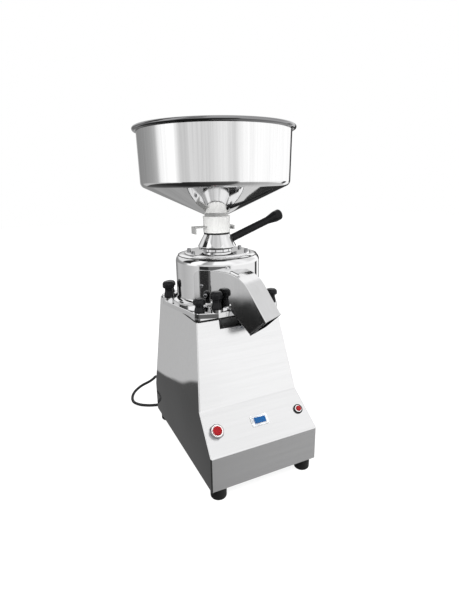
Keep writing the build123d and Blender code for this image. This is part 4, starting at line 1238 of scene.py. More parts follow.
@dataclass
class Knobs:
    """Black clamping knobs on the head's studs."""

    head: float = 12.8 * MM
    waist: float = 8.5 * MM
    skirt: float = 10.5 * MM
    skirt_height: float = 3 * MM
    waist_start: float = 0.38
    waist_end: float = 0.55
    head_start: float = 0.60
    crown: float = 7 * MM

    def model(self, name: str, node: str) -> bpy.types.Object:
        """Models one knob where its CAD node stands.

        Args:
            name: Name of the knob.
            node: Its CAD node.

        Returns:
            The knob.
        """
        low = bottom_of(node)
        height = top_of(node) - low
        outline = rounded([
            (0.0, low, 0),
            (self.skirt, low, 0.8 * MM),
            (self.skirt, low + self.skirt_height, 2 * MM),
            (self.waist, low + height * self.waist_start, 3 * MM),
            (self.waist, low + height * self.waist_end, 0.6 * MM),
            (self.head, low + height * self.head_start, 1.5 * MM),
            (self.head, low + height, self.crown),
            (0.0, low + height, 0),
        ], closed=False)
        return turned(name, outline, axis_of(node), 48, False)

    def build(self) -> None:
        """Models and dresses all seven knobs."""
        for node in sorted(frame["nodes"]):
            if "_knob_" in node:
                hand_over(self.model(f"{node}_moulded", node), PHENOLIC, node)


@dataclass
class Chute:
    """Folded discharge chute with a hem round its mouth and a tab on the drum."""

    angle: float = -60.0
    offset: float = -51 * MM
    width: float = 60 * MM
    sheet: float = 1.5 * MM
    roof: float = 77.8 * MM
    flat: float = 72 * MM
    curve: float = 71.7 * MM
    fall: float = 56.3
    reach: float = 168.4 * MM
    floor: float = 4.5 * MM
    floor_flat: float = 84 * MM
    floor_fall: float = 43.4
    floor_reach: float = 133.7 * MM
    start: float = 30 * MM
    fold: float = 1.4 * MM
    hem: float = 3.2 * MM
    hem_proud: float = 0.5 * MM
    hem_bite: float = 0.4
    hem_edge: float = 0.25 * MM
    drum: float = DRUM_RADIUS
    core_spare: float = 40 * MM
    tab_arc: float = 22.7
    tab_foot: float = 13.5 * MM
    tab_corner: float = 15 * MM
    tab_edge: float = 0.4 * MM
    tab_gap: float = 0.02 * MM
    tab_steps: int = 20
    boss_radius: float = 3.6 * MM
    boss_length: float = 24 * MM
    boss_share: float = 0.32
    boss_inset: float = 8 * MM
    curve_steps: int = 16

    def spot(self, flow: float, across: float, height: float) -> Point:
        """Place in the mill's frame of a point given along, across and above the chute.

        Args:
            flow: Distance from the grinding axis, the way the flour runs.
            across: Distance from the chute's middle plane.
            height: Height in the mill's frame.

        Returns:
            The place, in metres.
        """
        turn = math.radians(self.angle)
        side = self.offset + across
        return (AXIS[0] + flow * math.cos(turn) - side * math.sin(turn),
                AXIS[1] + flow * math.sin(turn) + side * math.cos(turn),
                height)

    def heights(self) -> tuple[float, float]:
        """Heights of the floor and of the flat roof."""
        base = bottom_of("chamber_drum")
        return base + self.floor, base + self.roof

    def on_curve(self, swing: float) -> tuple[float, float]:
        """Point of the roof's curve after a fall in radians, as (flow, height)."""
        roof = self.heights()[1]
        return self.flat + self.curve * math.sin(swing), roof - self.curve * (1 - math.cos(swing))

    def lip(self) -> tuple[float, float]:
        """Upper edge of the mouth, as (flow, height)."""
        flow, height = self.on_curve(math.radians(self.fall))
        return self.reach, height - (self.reach - flow) * math.tan(math.radians(self.fall))

    def heel(self) -> tuple[float, float]:
        """Lower edge of the mouth, as (flow, height)."""
        drop = (self.floor_reach - self.floor_flat) * math.tan(math.radians(self.floor_fall))
        return self.floor_reach, self.heights()[0] - drop

    def side_view(self) -> list[tuple[float, float]]:
        """Closed outline of the chute seen from its side.

        Returns:
            Its points as (flow, height).
        """
        floor, roof = self.heights()
        fall = math.radians(self.fall)
        arc = [self.on_curve(fall * step / self.curve_steps) for step in range(self.curve_steps + 1)]
        return [(self.start, floor), (self.start, roof), *arc, self.lip(), self.heel(),
                (self.floor_flat, floor)]

    def drawn_out(self, name: str, outline: Sequence[tuple[float, float]],
                  width: float) -> bpy.types.Object:
        """Extrudes a side view across the chute.

        Args:
            name: Name of the piece.
            outline: The side view, as (flow, height).
            width: How wide the piece gets.

        Returns:
            The new piece, out of edit mode.
        """
        low = [self.spot(flow, -width / 2, height) for flow, height in outline]
        offset = Vector(self.spot(0, width / 2, 0)) - Vector(self.spot(0, -width / 2, 0))
        return extruded(name, low, tuple(offset))

    def open_along(self, piece: bpy.types.Object, first: tuple[float, float],
                   second: tuple[float, float]) -> None:
        """Deletes the face that runs across the chute between two points of its side view.

        Args:
            piece: The piece that is opened.
            first: One of the points, as (flow, height).
            second: The other one.
        """
        middle = Vector(self.spot((first[0] + second[0]) / 2, 0, (first[1] + second[1]) / 2))
        open_piece(piece)
        pick(piece, Part.FACES, lambda at: (at - middle).length < FACE_MATCH)
        bpy.ops.mesh.delete(type="FACE")
        bpy.ops.object.mode_set(mode="OBJECT")

    def body(self) -> bpy.types.Object:
        """Models the folded channel.

        Returns:
            The channel.
        """
        piece = self.drawn_out("chute", self.side_view(), self.width)
        floor, roof = self.heights()
        self.open_along(piece, self.lip(), self.heel())
        self.open_along(piece, (self.start, floor), (self.start, roof))
        round_edges(piece, self.fold, 4, 40)
        modify(piece, "SOLIDIFY", thickness=self.sheet, offset=-1)
        self.trim(piece)
        return piece

    def trim(self, piece: bpy.types.Object) -> None:
        """Cuts away what reaches into the drum.

        Args:
            piece: The channel.
        """
        floor, roof = self.heights()
        low = floor - self.core_spare
        high = roof + self.core_spare
        core = turned("drum_core", [(0.0, low), (self.drum, low), (self.drum, high), (0.0, high)],
                      AXIS, 96, False)
        modify(piece, "BOOLEAN", operation="DIFFERENCE", solver="EXACT", object=core)
        bpy.data.objects.remove(core)

    def mouth_hem(self) -> bpy.types.Object:
        """Models the hem that is folded back round the mouth.

        Returns:
            The hem.
        """
        lip = Vector(self.lip())
        heel = Vector(self.heel())
        fall = math.radians(self.fall)
        floor_fall = math.radians(self.floor_fall)
        roof_way = Vector((math.cos(fall), -math.sin(fall)))
        floor_way = Vector((math.cos(floor_fall), -math.sin(floor_fall)))
        roof_out = Vector((math.sin(fall), math.cos(fall))) * self.hem_proud
        floor_out = Vector((math.sin(floor_fall), math.cos(floor_fall))) * -self.hem_proud
        front = (lip + roof_out, heel + floor_out)
        back = (lip + roof_out - roof_way * self.hem, heel + floor_out - floor_way * self.hem)
        outline = [tuple(point) for point in (front[0], front[1], back[1], back[0])]
        piece = self.drawn_out("chute_hem", outline, self.width + 2 * self.hem_proud)
        self.open_along(piece, outline[0], outline[1])
        self.open_along(piece, outline[2], outline[3])
        round_edges(piece, self.fold, 4, 40)
        modify(piece, "SOLIDIFY", thickness=self.hem_proud + self.sheet * self.hem_bite, offset=-1)
        round_edges(piece, self.hem_edge, 2, 40)
        return piece

    def tab(self) -> bpy.types.Object:
        """Models the strip that is screwed to the drum, with its rounded upper corner.

        Returns:
            The strip.
        """
        floor, roof = self.heights()
        low = floor + self.tab_foot
        edge = self.angle + math.degrees(math.asin((self.offset - self.width / 2) / self.drum))
        inner = []
        for step in range(self.tab_steps + 1):
            around = self.tab_arc * step / self.tab_steps
            reach = math.radians(around) * self.drum
            drop = 0.0
            if reach < self.tab_corner:
                drop = self.tab_corner - math.sqrt(self.tab_corner**2 - (self.tab_corner - reach)**2)
            swing = math.radians(edge - self.tab_arc + around)
            inner.append((swing, roof - drop))
        outline = [self._on_drum(swing, height) for swing, height in inner]
        outline += [self._on_drum(swing, low) for swing, _ in reversed(inner)]
        piece = draw_line(outline, True)
        piece.name = "chute_tab"
        bpy.ops.mesh.select_all(action="DESELECT")
        self._bridge_rows(piece, outline, self.tab_steps + 1)
        close_up(piece)
        modify(piece, "SOLIDIFY", thickness=self.sheet, offset=1)
        round_edges(piece, self.tab_edge, 2, 40)
        return piece

    def _on_drum(self, swing: float, height: float) -> Point:
        """Point just on the drum wall."""
        radius = self.drum + self.tab_gap
        return AXIS[0] + radius * math.cos(swing), AXIS[1] + radius * math.sin(swing), height

    def _bridge_rows(self, piece: bpy.types.Object, outline: Sequence[Point], count: int) -> None:
        """Fills the space between the upper and the lower row of a strip, one quad at a time.

        Args:
            piece: The piece that is open in edit mode.
            outline: The upper row, then the lower row from its end.
            count: How many points a row has.
        """
        for index in range(count - 1):
            corners = [Vector(outline[place]) for place in
                       (index, index + 1, 2 * count - 2 - index, 2 * count - 1 - index)]
            pick(piece, Part.VERTICES,
                 lambda at: any((at - corner).length < NEAR for corner in corners))
            bpy.ops.mesh.edge_face_add()

    def roof_boss(self) -> bpy.types.Object:
        """Models the rounded bar pressed up from the start of the roof.

        Returns:
            The bar.
        """
        half = self.boss_length / 2
        radius = self.boss_radius
        outline = [(0.0, -half)]
        for step in range(1, 9):
            swing = math.radians(90 * step / 8)
            outline.append((radius * math.sin(swing), -half + radius * (1 - math.cos(swing))))
        outline += [(across, -height) for across, height in reversed(outline)]
        piece = turned("chute_boss", outline, (0.0, 0.0), 32, False)
        swing = math.radians(self.fall * self.boss_share)
        flow, height = self.on_curve(swing)
        side = -self.width / 2 + self.boss_inset
        start = Vector(self.spot(flow, side, height))
        ahead = Vector(self.spot(flow + math.cos(swing), side, height - math.sin(swing))) - start
        across = Vector(self.spot(0, 1, 0)) - Vector(self.spot(0, 0, 0))
        place(piece, frame_matrix(tuple(start), across, ahead))
        return piece

    def build(self) -> None:
        """Models and dresses the chute."""
        whole = joined("discharge_chute", [self.body(), self.mouth_hem(), self.tab(), self.roof_boss()])
        hand_over(whole, CHUTE_STEEL, "discharge_spout")


@dataclass
class Controls:
    """Push button, rocker switch and overload reset on the sloping panel."""

    crease: Point = (0.0, -147 * MM, 159.5 * MM)
    slope: float = math.atan2(59.5, 69.0)
    drop: float = 45 * MM
    button_x: float = -92 * MM
    switch_x: float = 3 * MM
    reset_x: float = 96 * MM
    bezel: float = 15 * MM
    bezel_height: float = 9 * MM
    button: float = 9 * MM
    button_ring: float = 2.6 * MM
    button_proud: float = 3 * MM
    switch_width: float = 37 * MM
    switch_height: float = 21 * MM
    switch_rim: float = 3 * MM
    switch_proud: float = 3 * MM
    tilt: float = 9.0
    reset: float = 10 * MM
    reset_proud: float = 3.5 * MM
    reset_button: float = 5.6 * MM
    reset_ring: float = 1.6 * MM
    reset_button_proud: float = 3 * MM
    reset_depth: float = 4 * MM
    depth: float = 6 * MM
    play: float = 0.1 * MM
    nut_share: float = 0.6
    collar: float = 1.4 * MM
    dish: float = 0.7 * MM
    floor_of_frame: float = 0.2 * MM
    well_gap: float = 1.2 * MM
    well_drop: float = 0.5 * MM
    rocker_side_gap: float = 0.6 * MM
    rocker_end: float = 5.0 * MM
    rocker_flank: float = 4.1 * MM
    rocker_middle: float = 3.6 * MM
    rocker_foot: float = 1.5 * MM
    rocker_foot_share: float = 0.86

    def frame(self, across: float) -> Matrix:
        """Matrix of a place on the panel: X across it, Y up it and Z out of it.

        Args:
            across: Distance from the middle of the panel.

        Returns:
            The matrix.
        """
        up = Vector((0, math.cos(self.slope), math.sin(self.slope)))
        out = Vector((0, -math.sin(self.slope), math.cos(self.slope)))
        origin = Vector(self.crease) + Vector((across, AXIS[1], 0)) - up * self.drop
        return frame_matrix(tuple(origin), Vector((1, 0, 0)), out)

    def on_panel(self, name: str, outline: Sequence[tuple[float, float]], across: float,
                 segments: int = 48, closed: bool = True) -> bpy.types.Object:
        """Turns an outline and puts it on the panel.

        Args:
            name: Name of the piece.
            outline: Points as (radius, height above the panel).
            across: Distance from the middle of the panel.
            segments: How many steps make the full turn.
            closed: Whether the outline is closed.

        Returns:
            The new piece.
        """
        piece = turned(name, outline, (0.0, 0.0), segments, closed)
        place(piece, self.frame(across))
        return piece

    def push_button(self) -> None:
        """Models the faceted chrome bezel, its white ring and the red button."""
        low = -self.depth
        wall = self.button + self.play
        hole = wall + self.button_ring
        nut_top = self.bezel_height * self.nut_share
        facets = self.on_panel("button_nut", [
            (hole, low), (self.bezel, low), (self.bezel, nut_top - 1 * MM),
            (self.bezel - 1.2 * MM, nut_top), (hole, nut_top),
        ], self.button_x, 8)
        round_edges(facets, 0.5 * MM, 3, 30)
        collar = self.on_panel("button_collar", rounded([
            (hole, low, 0), (hole + self.collar, low, 0), (hole + self.collar, self.bezel_height, 0.8 * MM),
            (hole, self.bezel_height, 0.3 * MM)]), self.button_x)
        hand_over(joined("button_bezel_chrome", [facets, collar]), CHROME, "button_bezel")
        ring = self.on_panel("button_ring", rounded([
            (wall, low, 0), (hole, low, 0), (hole, self.bezel_height - 0.2 * MM, 0),
            (wall, self.bezel_height - 1.2 * MM, 0.3 * MM)]), self.button_x)
        hand_over(ring, WHITE_PLASTIC, "button_bezel", stands_for=False)
        crown = self.bezel_height + self.button_proud
        cap = self.on_panel("red_push_button", rounded([
            (0.0, low, 0), (self.button, low, 0), (self.button, crown, 2.2 * MM),
            (self.button * 0.55, crown, 0.6 * MM), (self.button * 0.50, crown - self.dish, 0.6 * MM),
            (0.0, crown - self.dish, 0)], closed=False), self.button_x, 48, False)
        hand_over(cap, RED_PLASTIC, "push_button")

    def rocker_switch(self) -> None:
        """Models the white frame, a black block that paints the shade in its well, and the blue rocker."""
        half_x = self.switch_width / 2
        half_y = self.switch_height / 2
        rim = self.switch_rim
        outline = rounded([(-half_x, -half_y, 2 * MM), (half_x, -half_y, 2 * MM),
                           (half_x, half_y, 2 * MM), (-half_x, half_y, 2 * MM)])
        plate = extruded("switch_plate", [(x, y, 0.0) for x, y in outline], (0, 0, self.switch_proud))
        self._sink_middle(plate, rim)
        round_edges(plate, 0.6 * MM, 3, 50)
        place(plate, self.frame(self.switch_x))
        hand_over(plate, WHITE_PLASTIC, "switch_frame")
        inner_x = half_x - rim - self.well_gap
        inner_y = half_y - rim - self.well_gap
        # Painted shade: a black block fills the well round the rocker
        well = block("switch_well_painted_shade", (-inner_x, -inner_y, -self.depth),
                     (inner_x, inner_y, -self.well_drop))
        close_up(well)
        place(well, self.frame(self.switch_x))
        hand_over(well, GAP_PAINTED_SHADE, "switch_frame", stands_for=False)
        reach = inner_x - self.rocker_side_gap
        foot = reach * self.rocker_foot_share
        width = 2 * inner_y - 0.8 * MM
        side = rounded([
            (-reach, self.rocker_end, 0.8 * MM), (-reach * 0.5, self.rocker_flank, 12 * MM),
            (0.0, self.rocker_middle, 0),
            (reach * 0.5, self.rocker_flank, 12 * MM), (reach, self.rocker_end, 0.8 * MM),
            (foot, -self.rocker_foot, 0.8 * MM), (-foot, -self.rocker_foot, 0.8 * MM)])
        paddle = extruded("blue_rocker", [(x, -width / 2, z) for x, z in side], (0, width, 0))
        round_edges(paddle, 0.5 * MM, 3, 50)
        place(paddle, self.frame(self.switch_x) @ Matrix.Rotation(math.radians(self.tilt), 4, "Y"))
        hand_over(paddle, BLUE_PLASTIC, "switch_rocker")

    def _sink_middle(self, plate: bpy.types.Object, rim: float) -> None:
        """Sinks the middle of a plate inside its rim.

        Args:
            plate: The plate.
            rim: How wide the rim stays.
        """
        top = self.switch_proud
        open_piece(plate)
        pick(plate, Part.FACES, lambda at: at.z > top - DOUBLES)
        bpy.ops.mesh.inset(thickness=rim)
        bpy.ops.transform.translate(value=(0, 0, -top + self.floor_of_frame))
        bpy.ops.object.mode_set(mode="OBJECT")

    def overload_reset(self) -> None:
        """Models the black bezel, its white ring and the small red button."""
        low = -self.reset_depth
        gap = self.reset_button + self.play
        edge = gap + self.reset_ring
        bezel = self.on_panel("reset_bezel", rounded([
            (edge, low, 0), (self.reset, low, 0), (self.reset, self.reset_proud, 1.4 * MM),
            (edge, self.reset_proud - 0.3 * MM, 0.6 * MM)]), self.reset_x)
        hand_over(bezel, PHENOLIC, "reset_body")
        ring = self.on_panel("reset_ring", rounded([
            (gap, low, 0), (edge, low, 0), (edge, self.reset_proud - 0.2 * MM, 0),
            (gap, self.reset_proud + 0.4 * MM, 0.3 * MM)]), self.reset_x)
        hand_over(ring, WHITE_PLASTIC, "reset_body", stands_for=False)
        crown = self.reset_proud + self.reset_button_proud
        cap = self.on_panel("red_reset_button", rounded([
            (0.0, low, 0), (self.reset_button, low, 0), (self.reset_button, crown, 1.4 * MM),
            (0.0, crown + 0.2 * MM, 0)], closed=False), self.reset_x, 32, False)
        hand_over(cap, RED_PLASTIC, "reset_button")

    def build(self) -> None:
        """Models and dresses all three controls."""
        self.push_button()
        self.rocker_switch()
        self.overload_reset()


@dataclass
class Lever:
    """Adjusting lever: a steel rod in the hub and a moulded grip."""

    rise: float = 20.5
    height: float = 14.5 * MM
    cross_reach: float = 35 * MM
    hub_foot: float = HUB_FOOT
    start: float = 38 * MM
    length: float = 132.5 * MM
    radius: float = 8.3 * MM
    end_radius: float = 12.3 * MM
    bore: float = 4.1 * MM
    groove: float = 0.5 * MM
    groove_half: float = 1.1 * MM
    groove_first: float = 0.10
    groove_pitch: float = 0.13
    grooves: int = 5
    swell_start: float = 0.72
    swell_end: float = 0.88
    dimple: float = 0.8 * MM
    dimple_rim: float = 0.4
    dimple_floor: float = 0.3

    def grip(self) -> bpy.types.Object:
        """Models the grip about the Z axis, with fine grooves, and lays it on the lever's line.

        Returns:
            The grip.
        """
        corners = [(self.bore, 0.0, 0), (self.radius, 0.0, 1 * MM)]
        for index in range(self.grooves):
            middle = self.length * (self.groove_first + self.groove_pitch * index)
            corners += [(self.radius, middle - self.groove_half, 0),
                        (self.radius - self.groove, middle, 0.6 * MM),
                        (self.radius, middle + self.groove_half, 0)]
        corners += [(self.radius, self.length * self.swell_start, 30 * MM),
                    (self.end_radius, self.length * self.swell_end, 15 * MM),
                    (self.end_radius, self.length, 5 * MM),
                    (self.end_radius * self.dimple_rim, self.length, 0.5 * MM),
                    (self.end_radius * self.dimple_floor, self.length - self.dimple, 0.4 * MM),
                    (0.0, self.length - self.dimple, 0)]
        piece = turned("lever_grip_moulded", rounded(corners, closed=False), (0.0, 0.0), 48, False)
        slope = math.radians(self.rise)
        ahead = Vector((math.cos(slope), 0, math.sin(slope)))
        cone_base = top_of("chamber_cover") + self.hub_foot
        root = Vector((AXIS[0], AXIS[1], cone_base + self.height - self.cross_reach * math.tan(slope)))
        place(piece, frame_matrix(tuple(root + ahead * self.start), Vector((0, 1, 0)), ahead))
        return piece

    def build(self) -> None:
        """Models and dresses the grip."""
        hand_over(self.grip(), PHENOLIC, "lever_grip")


@dataclass
class StrainRelief:
    """Ribbed rubber sleeve where the lead leaves its gland."""

    root: float = 7 * MM
    tip: float = 5 * MM
    bore: float = 3.8 * MM
    ribs: int = 6
    rib_first: float = 0.16
    rib_pitch: float = 0.13
    groove: float = 1 * MM
    groove_start: float = 0.6 * MM
    groove_end: float = 1.8 * MM
    rib_start: float = 2.4 * MM

    def build(self) -> bpy.types.Object:
        """Models and dresses the sleeve.

        Returns:
            The sleeve.
        """
        low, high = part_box("strain_relief")
        length = high.y - low.y
        corners = [(self.bore, 0.0, 0), (self.root, 0.0, 0.3 * MM)]
        for index in range(self.ribs):
            start = length * (self.rib_first + self.rib_pitch * index)
            here = self.root + (self.tip - self.root) * (start / length)
            corners += [(here, start, 0), (here - self.groove, start + self.groove_start, 0),
                        (here - self.groove, start + self.groove_end, 0),
                        (here - 0.2 * MM, start + self.rib_start, 0)]
        corners += [(self.tip, length, 0.5 * MM), (self.bore, length, 0)]
        piece = turned("ribbed_relief", rounded(corners), (0.0, 0.0), 32)
        middle = ((low.x + high.x) / 2, low.y, (low.z + high.z) / 2)
        place(piece, frame_matrix(middle, Vector((1, 0, 0)), Vector((0, 1, 0))))
        hand_over(piece, RUBBER, "strain_relief")
        return piece


@dataclass
class MainsLead:
    """Free cord from the gland, wound into a coil behind the cabinet."""

    radius: float = 3.75 * MM
    coil_x: float = 10 * MM
    coil_y: float = 220 * MM
    coil_middle: float = 44 * MM
    turns: int = 2
    points_in_turn: int = 16
    rest: float = 4.1 * MM
    gland_x: float = -100 * MM
    mouth: float = 183 * MM
    gland_height: float = 90 * MM
    approach: float = 22 * MM
    plug_overlap: float = 1 * MM

    def exit(self) -> Point:
        """Point where the cord leaves its strain relief."""
        return self.gland_x, AXIS[1] + self.mouth, self.gland_height

    def route(self) -> list[Point]:
        """Points of the free stretch, from the strain relief to the coil.

        Returns:
            The points, in metres.
        """
        pitch = 2 * self.radius
        points_mm = [
            (-100, 209, 84),
            (-99, 238, 63),
            (-106, 266, 42),
            (-129, 283, 26),
            (-155, 272, 13),
            (-164, 244, 4.1),
            (-151, 217, 4.1),
            (-126, 199, 4.1),
            (-95, 190, 4.1),
            (-62, 182, 4.1),
            (-36, 172, 4.1),
        ]
        free = [(x * MM, AXIS[1] + y * MM, z * MM) for x, y, z in points_mm]
        last = (self.coil_x - self.approach, AXIS[1] + self.coil_y - self.coil_middle - pitch, self.rest)
        return [self.exit(), *free, last]

    def winding(self) -> list[Point]:
        """Points of the coil: inwards below, up one layer, outwards above.

        Returns:
            The points, in metres.
        """
        pitch = 2 * self.radius
        outer = self.coil_middle + pitch
        inner = self.coil_middle - pitch
        points = []
        total = 2 * self.turns + 1
        for step in range(total * self.points_in_turn + 1):
            turn = step / self.points_in_turn
            if turn <= self.turns:
                radius = outer - pitch * turn
                height = self.rest
            elif turn <= self.turns + 1:
                radius = inner
                height = self.rest + pitch * (turn - self.turns)
            else:
                radius = inner + pitch * (turn - self.turns - 1)
                height = self.rest + pitch
            angle = FULL_TURN * turn - math.pi / 2
            points.append((self.coil_x + radius * math.cos(angle),
                           AXIS[1] + self.coil_y + radius * math.sin(angle), height))
        return points

    def build(self) -> None:
        points = [*self.route(), *self.winding()]
        end_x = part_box("mains_plug")[0][0] + self.plug_overlap
        last = points[-1]
        points += [((last[0] + end_x) / 2, last[1], last[2]), (end_x, last[1], last[2])]
        curve = bpy.data.curves.new("mains_cord", "CURVE")
        curve.dimensions = "3D"
        spline = curve.splines.new("NURBS")
        spline.points.add(len(points) - 1)
        for target, point in zip(spline.points, points):
            target.co = (*point, 1)
        spline.order_u = 3
        spline.use_endpoint_u = True
        curve.bevel_depth = self.radius
        curve.bevel_resolution = 5
        curve.resolution_u = 6
        cord = bpy.data.objects.new("mains_cord", curve)
        bpy.context.collection.objects.link(cord)
        cord.data.materials.append(SHEATH.build())
        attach(cord, "stand")
        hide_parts("power_cord", "cord_coil")
        StrainRelief().build()
        logger.info("mains_cord: %d points", len(points))


# Studio

# Brightness of the room's layers by direction in degrees, 0 to its front and 90 to its right
FLOOR_SHADES = ((-180, 0.34), (-168, 0.12), (-150, 0.075), (-100, 0.02), (-75, 0.02), (-30, 0.04),
                (8, 0.08), (18, 0.34), (45, 0.40), (90, 0.55), (132, 0.62), (150, 0.70), (158, 0.80),
                (165, 0.36), (180, 0.34))
LOW_SHADES = ((-180, 0.28), (-167, 0.28), (-164, 0.50), (-150, 0.55), (-128, 0.50), (-100, 0.60),
              (-76, 0.72), (-73, 0.03), (-50, 0.03), (-47, 0.14), (8, 0.16), (13, 1.00), (98, 1.00),
              (101, 0.03), (111, 0.03), (113, 1.10), (130, 1.00), (133, 0.03), (147, 0.03),
              (151, 0.42), (158, 0.42), (162, 0.28), (180, 0.28))
WALL_SHADES = ((-180, 0.27), (-155, 0.31), (-128, 0.36), (-117, 0.52), (-108, 1.15), (-84, 1.15),
               (-74, 0.66), (-66, 0.64), (-58, 0.78), (-30, 0.74), (-10, 0.90), (5, 0.74),
               (13, 1.00), (22, 1.12), (122, 1.12), (127, 0.03), (143, 0.03), (148, 0.45))
CEILING_SHADES = ((-180, 0.90), (-136, 0.85), (-131, 0.03), (-104, 0.03), (-100, 1.30), (-72, 1.20),
                  (-64, 0.34), (-40, 0.62), (-34, 1.15), (16, 1.15), (34, 0.95), (56, 1.10),
                  (78, 0.86), (104, 0.86), (112, 1.20), (180, 1.00))

# How far the floor's edge lies above LOW_BAND, by direction
FLOOR_EDGE_RISE = ((-180, 0.30), (-157, 0.30), (-97, 0.400), (-60, 0.400), (0, 0.30), (127, 0.30),
                   (132, 0.08), (141, 0.08), (146, 0.30), (180, 0.30))

# Heights on the unit sphere at which one layer of the room passes into the next
LOW_BAND = (-0.670, -0.662)
WALL_BAND = (-0.13, -0.11)
CEILING_BAND = (0.12, 0.28)


# Point that all lamps look at, in metres
LAMP_TARGET = (0, 0, 0.35)


@dataclass(frozen=True)
class Lamp:
    """One soft round lamp that points at the middle of the mill.

    Args:
        name: Its name.
        spot: Its place, in metres.
        size: Its diameter, in metres.
        power: Its power, in watts.
    """

    name: str
    spot: Point
    size: float
    power: float

    def build(self) -> None:
        """Hangs the lamp, out of sight of the polished metal."""
        data = bpy.data.lights.new(self.name, "AREA")
        data.shape = "DISK"
        data.size = self.size
        data.energy = self.power
        light = bpy.data.objects.new(self.name, data)
        bpy.context.collection.objects.link(light)
        aim = Vector(LAMP_TARGET) - Vector(self.spot)
        turn = aim.to_track_quat("-Z", "Y").to_matrix().to_4x4()
        light.matrix_world = Matrix.Translation(self.spot) @ turn
        light.visible_glossy = False


LAMPS = (
    Lamp("key_light", (-1.2, -1.6, 2.2), 1.4, 26),
    Lamp("fill_light", (1.8, -1.0, 1.5), 1.6, 14),
    Lamp("collar_light", (-0.32, -0.42, 0.56), 0.3, 1.1),
)


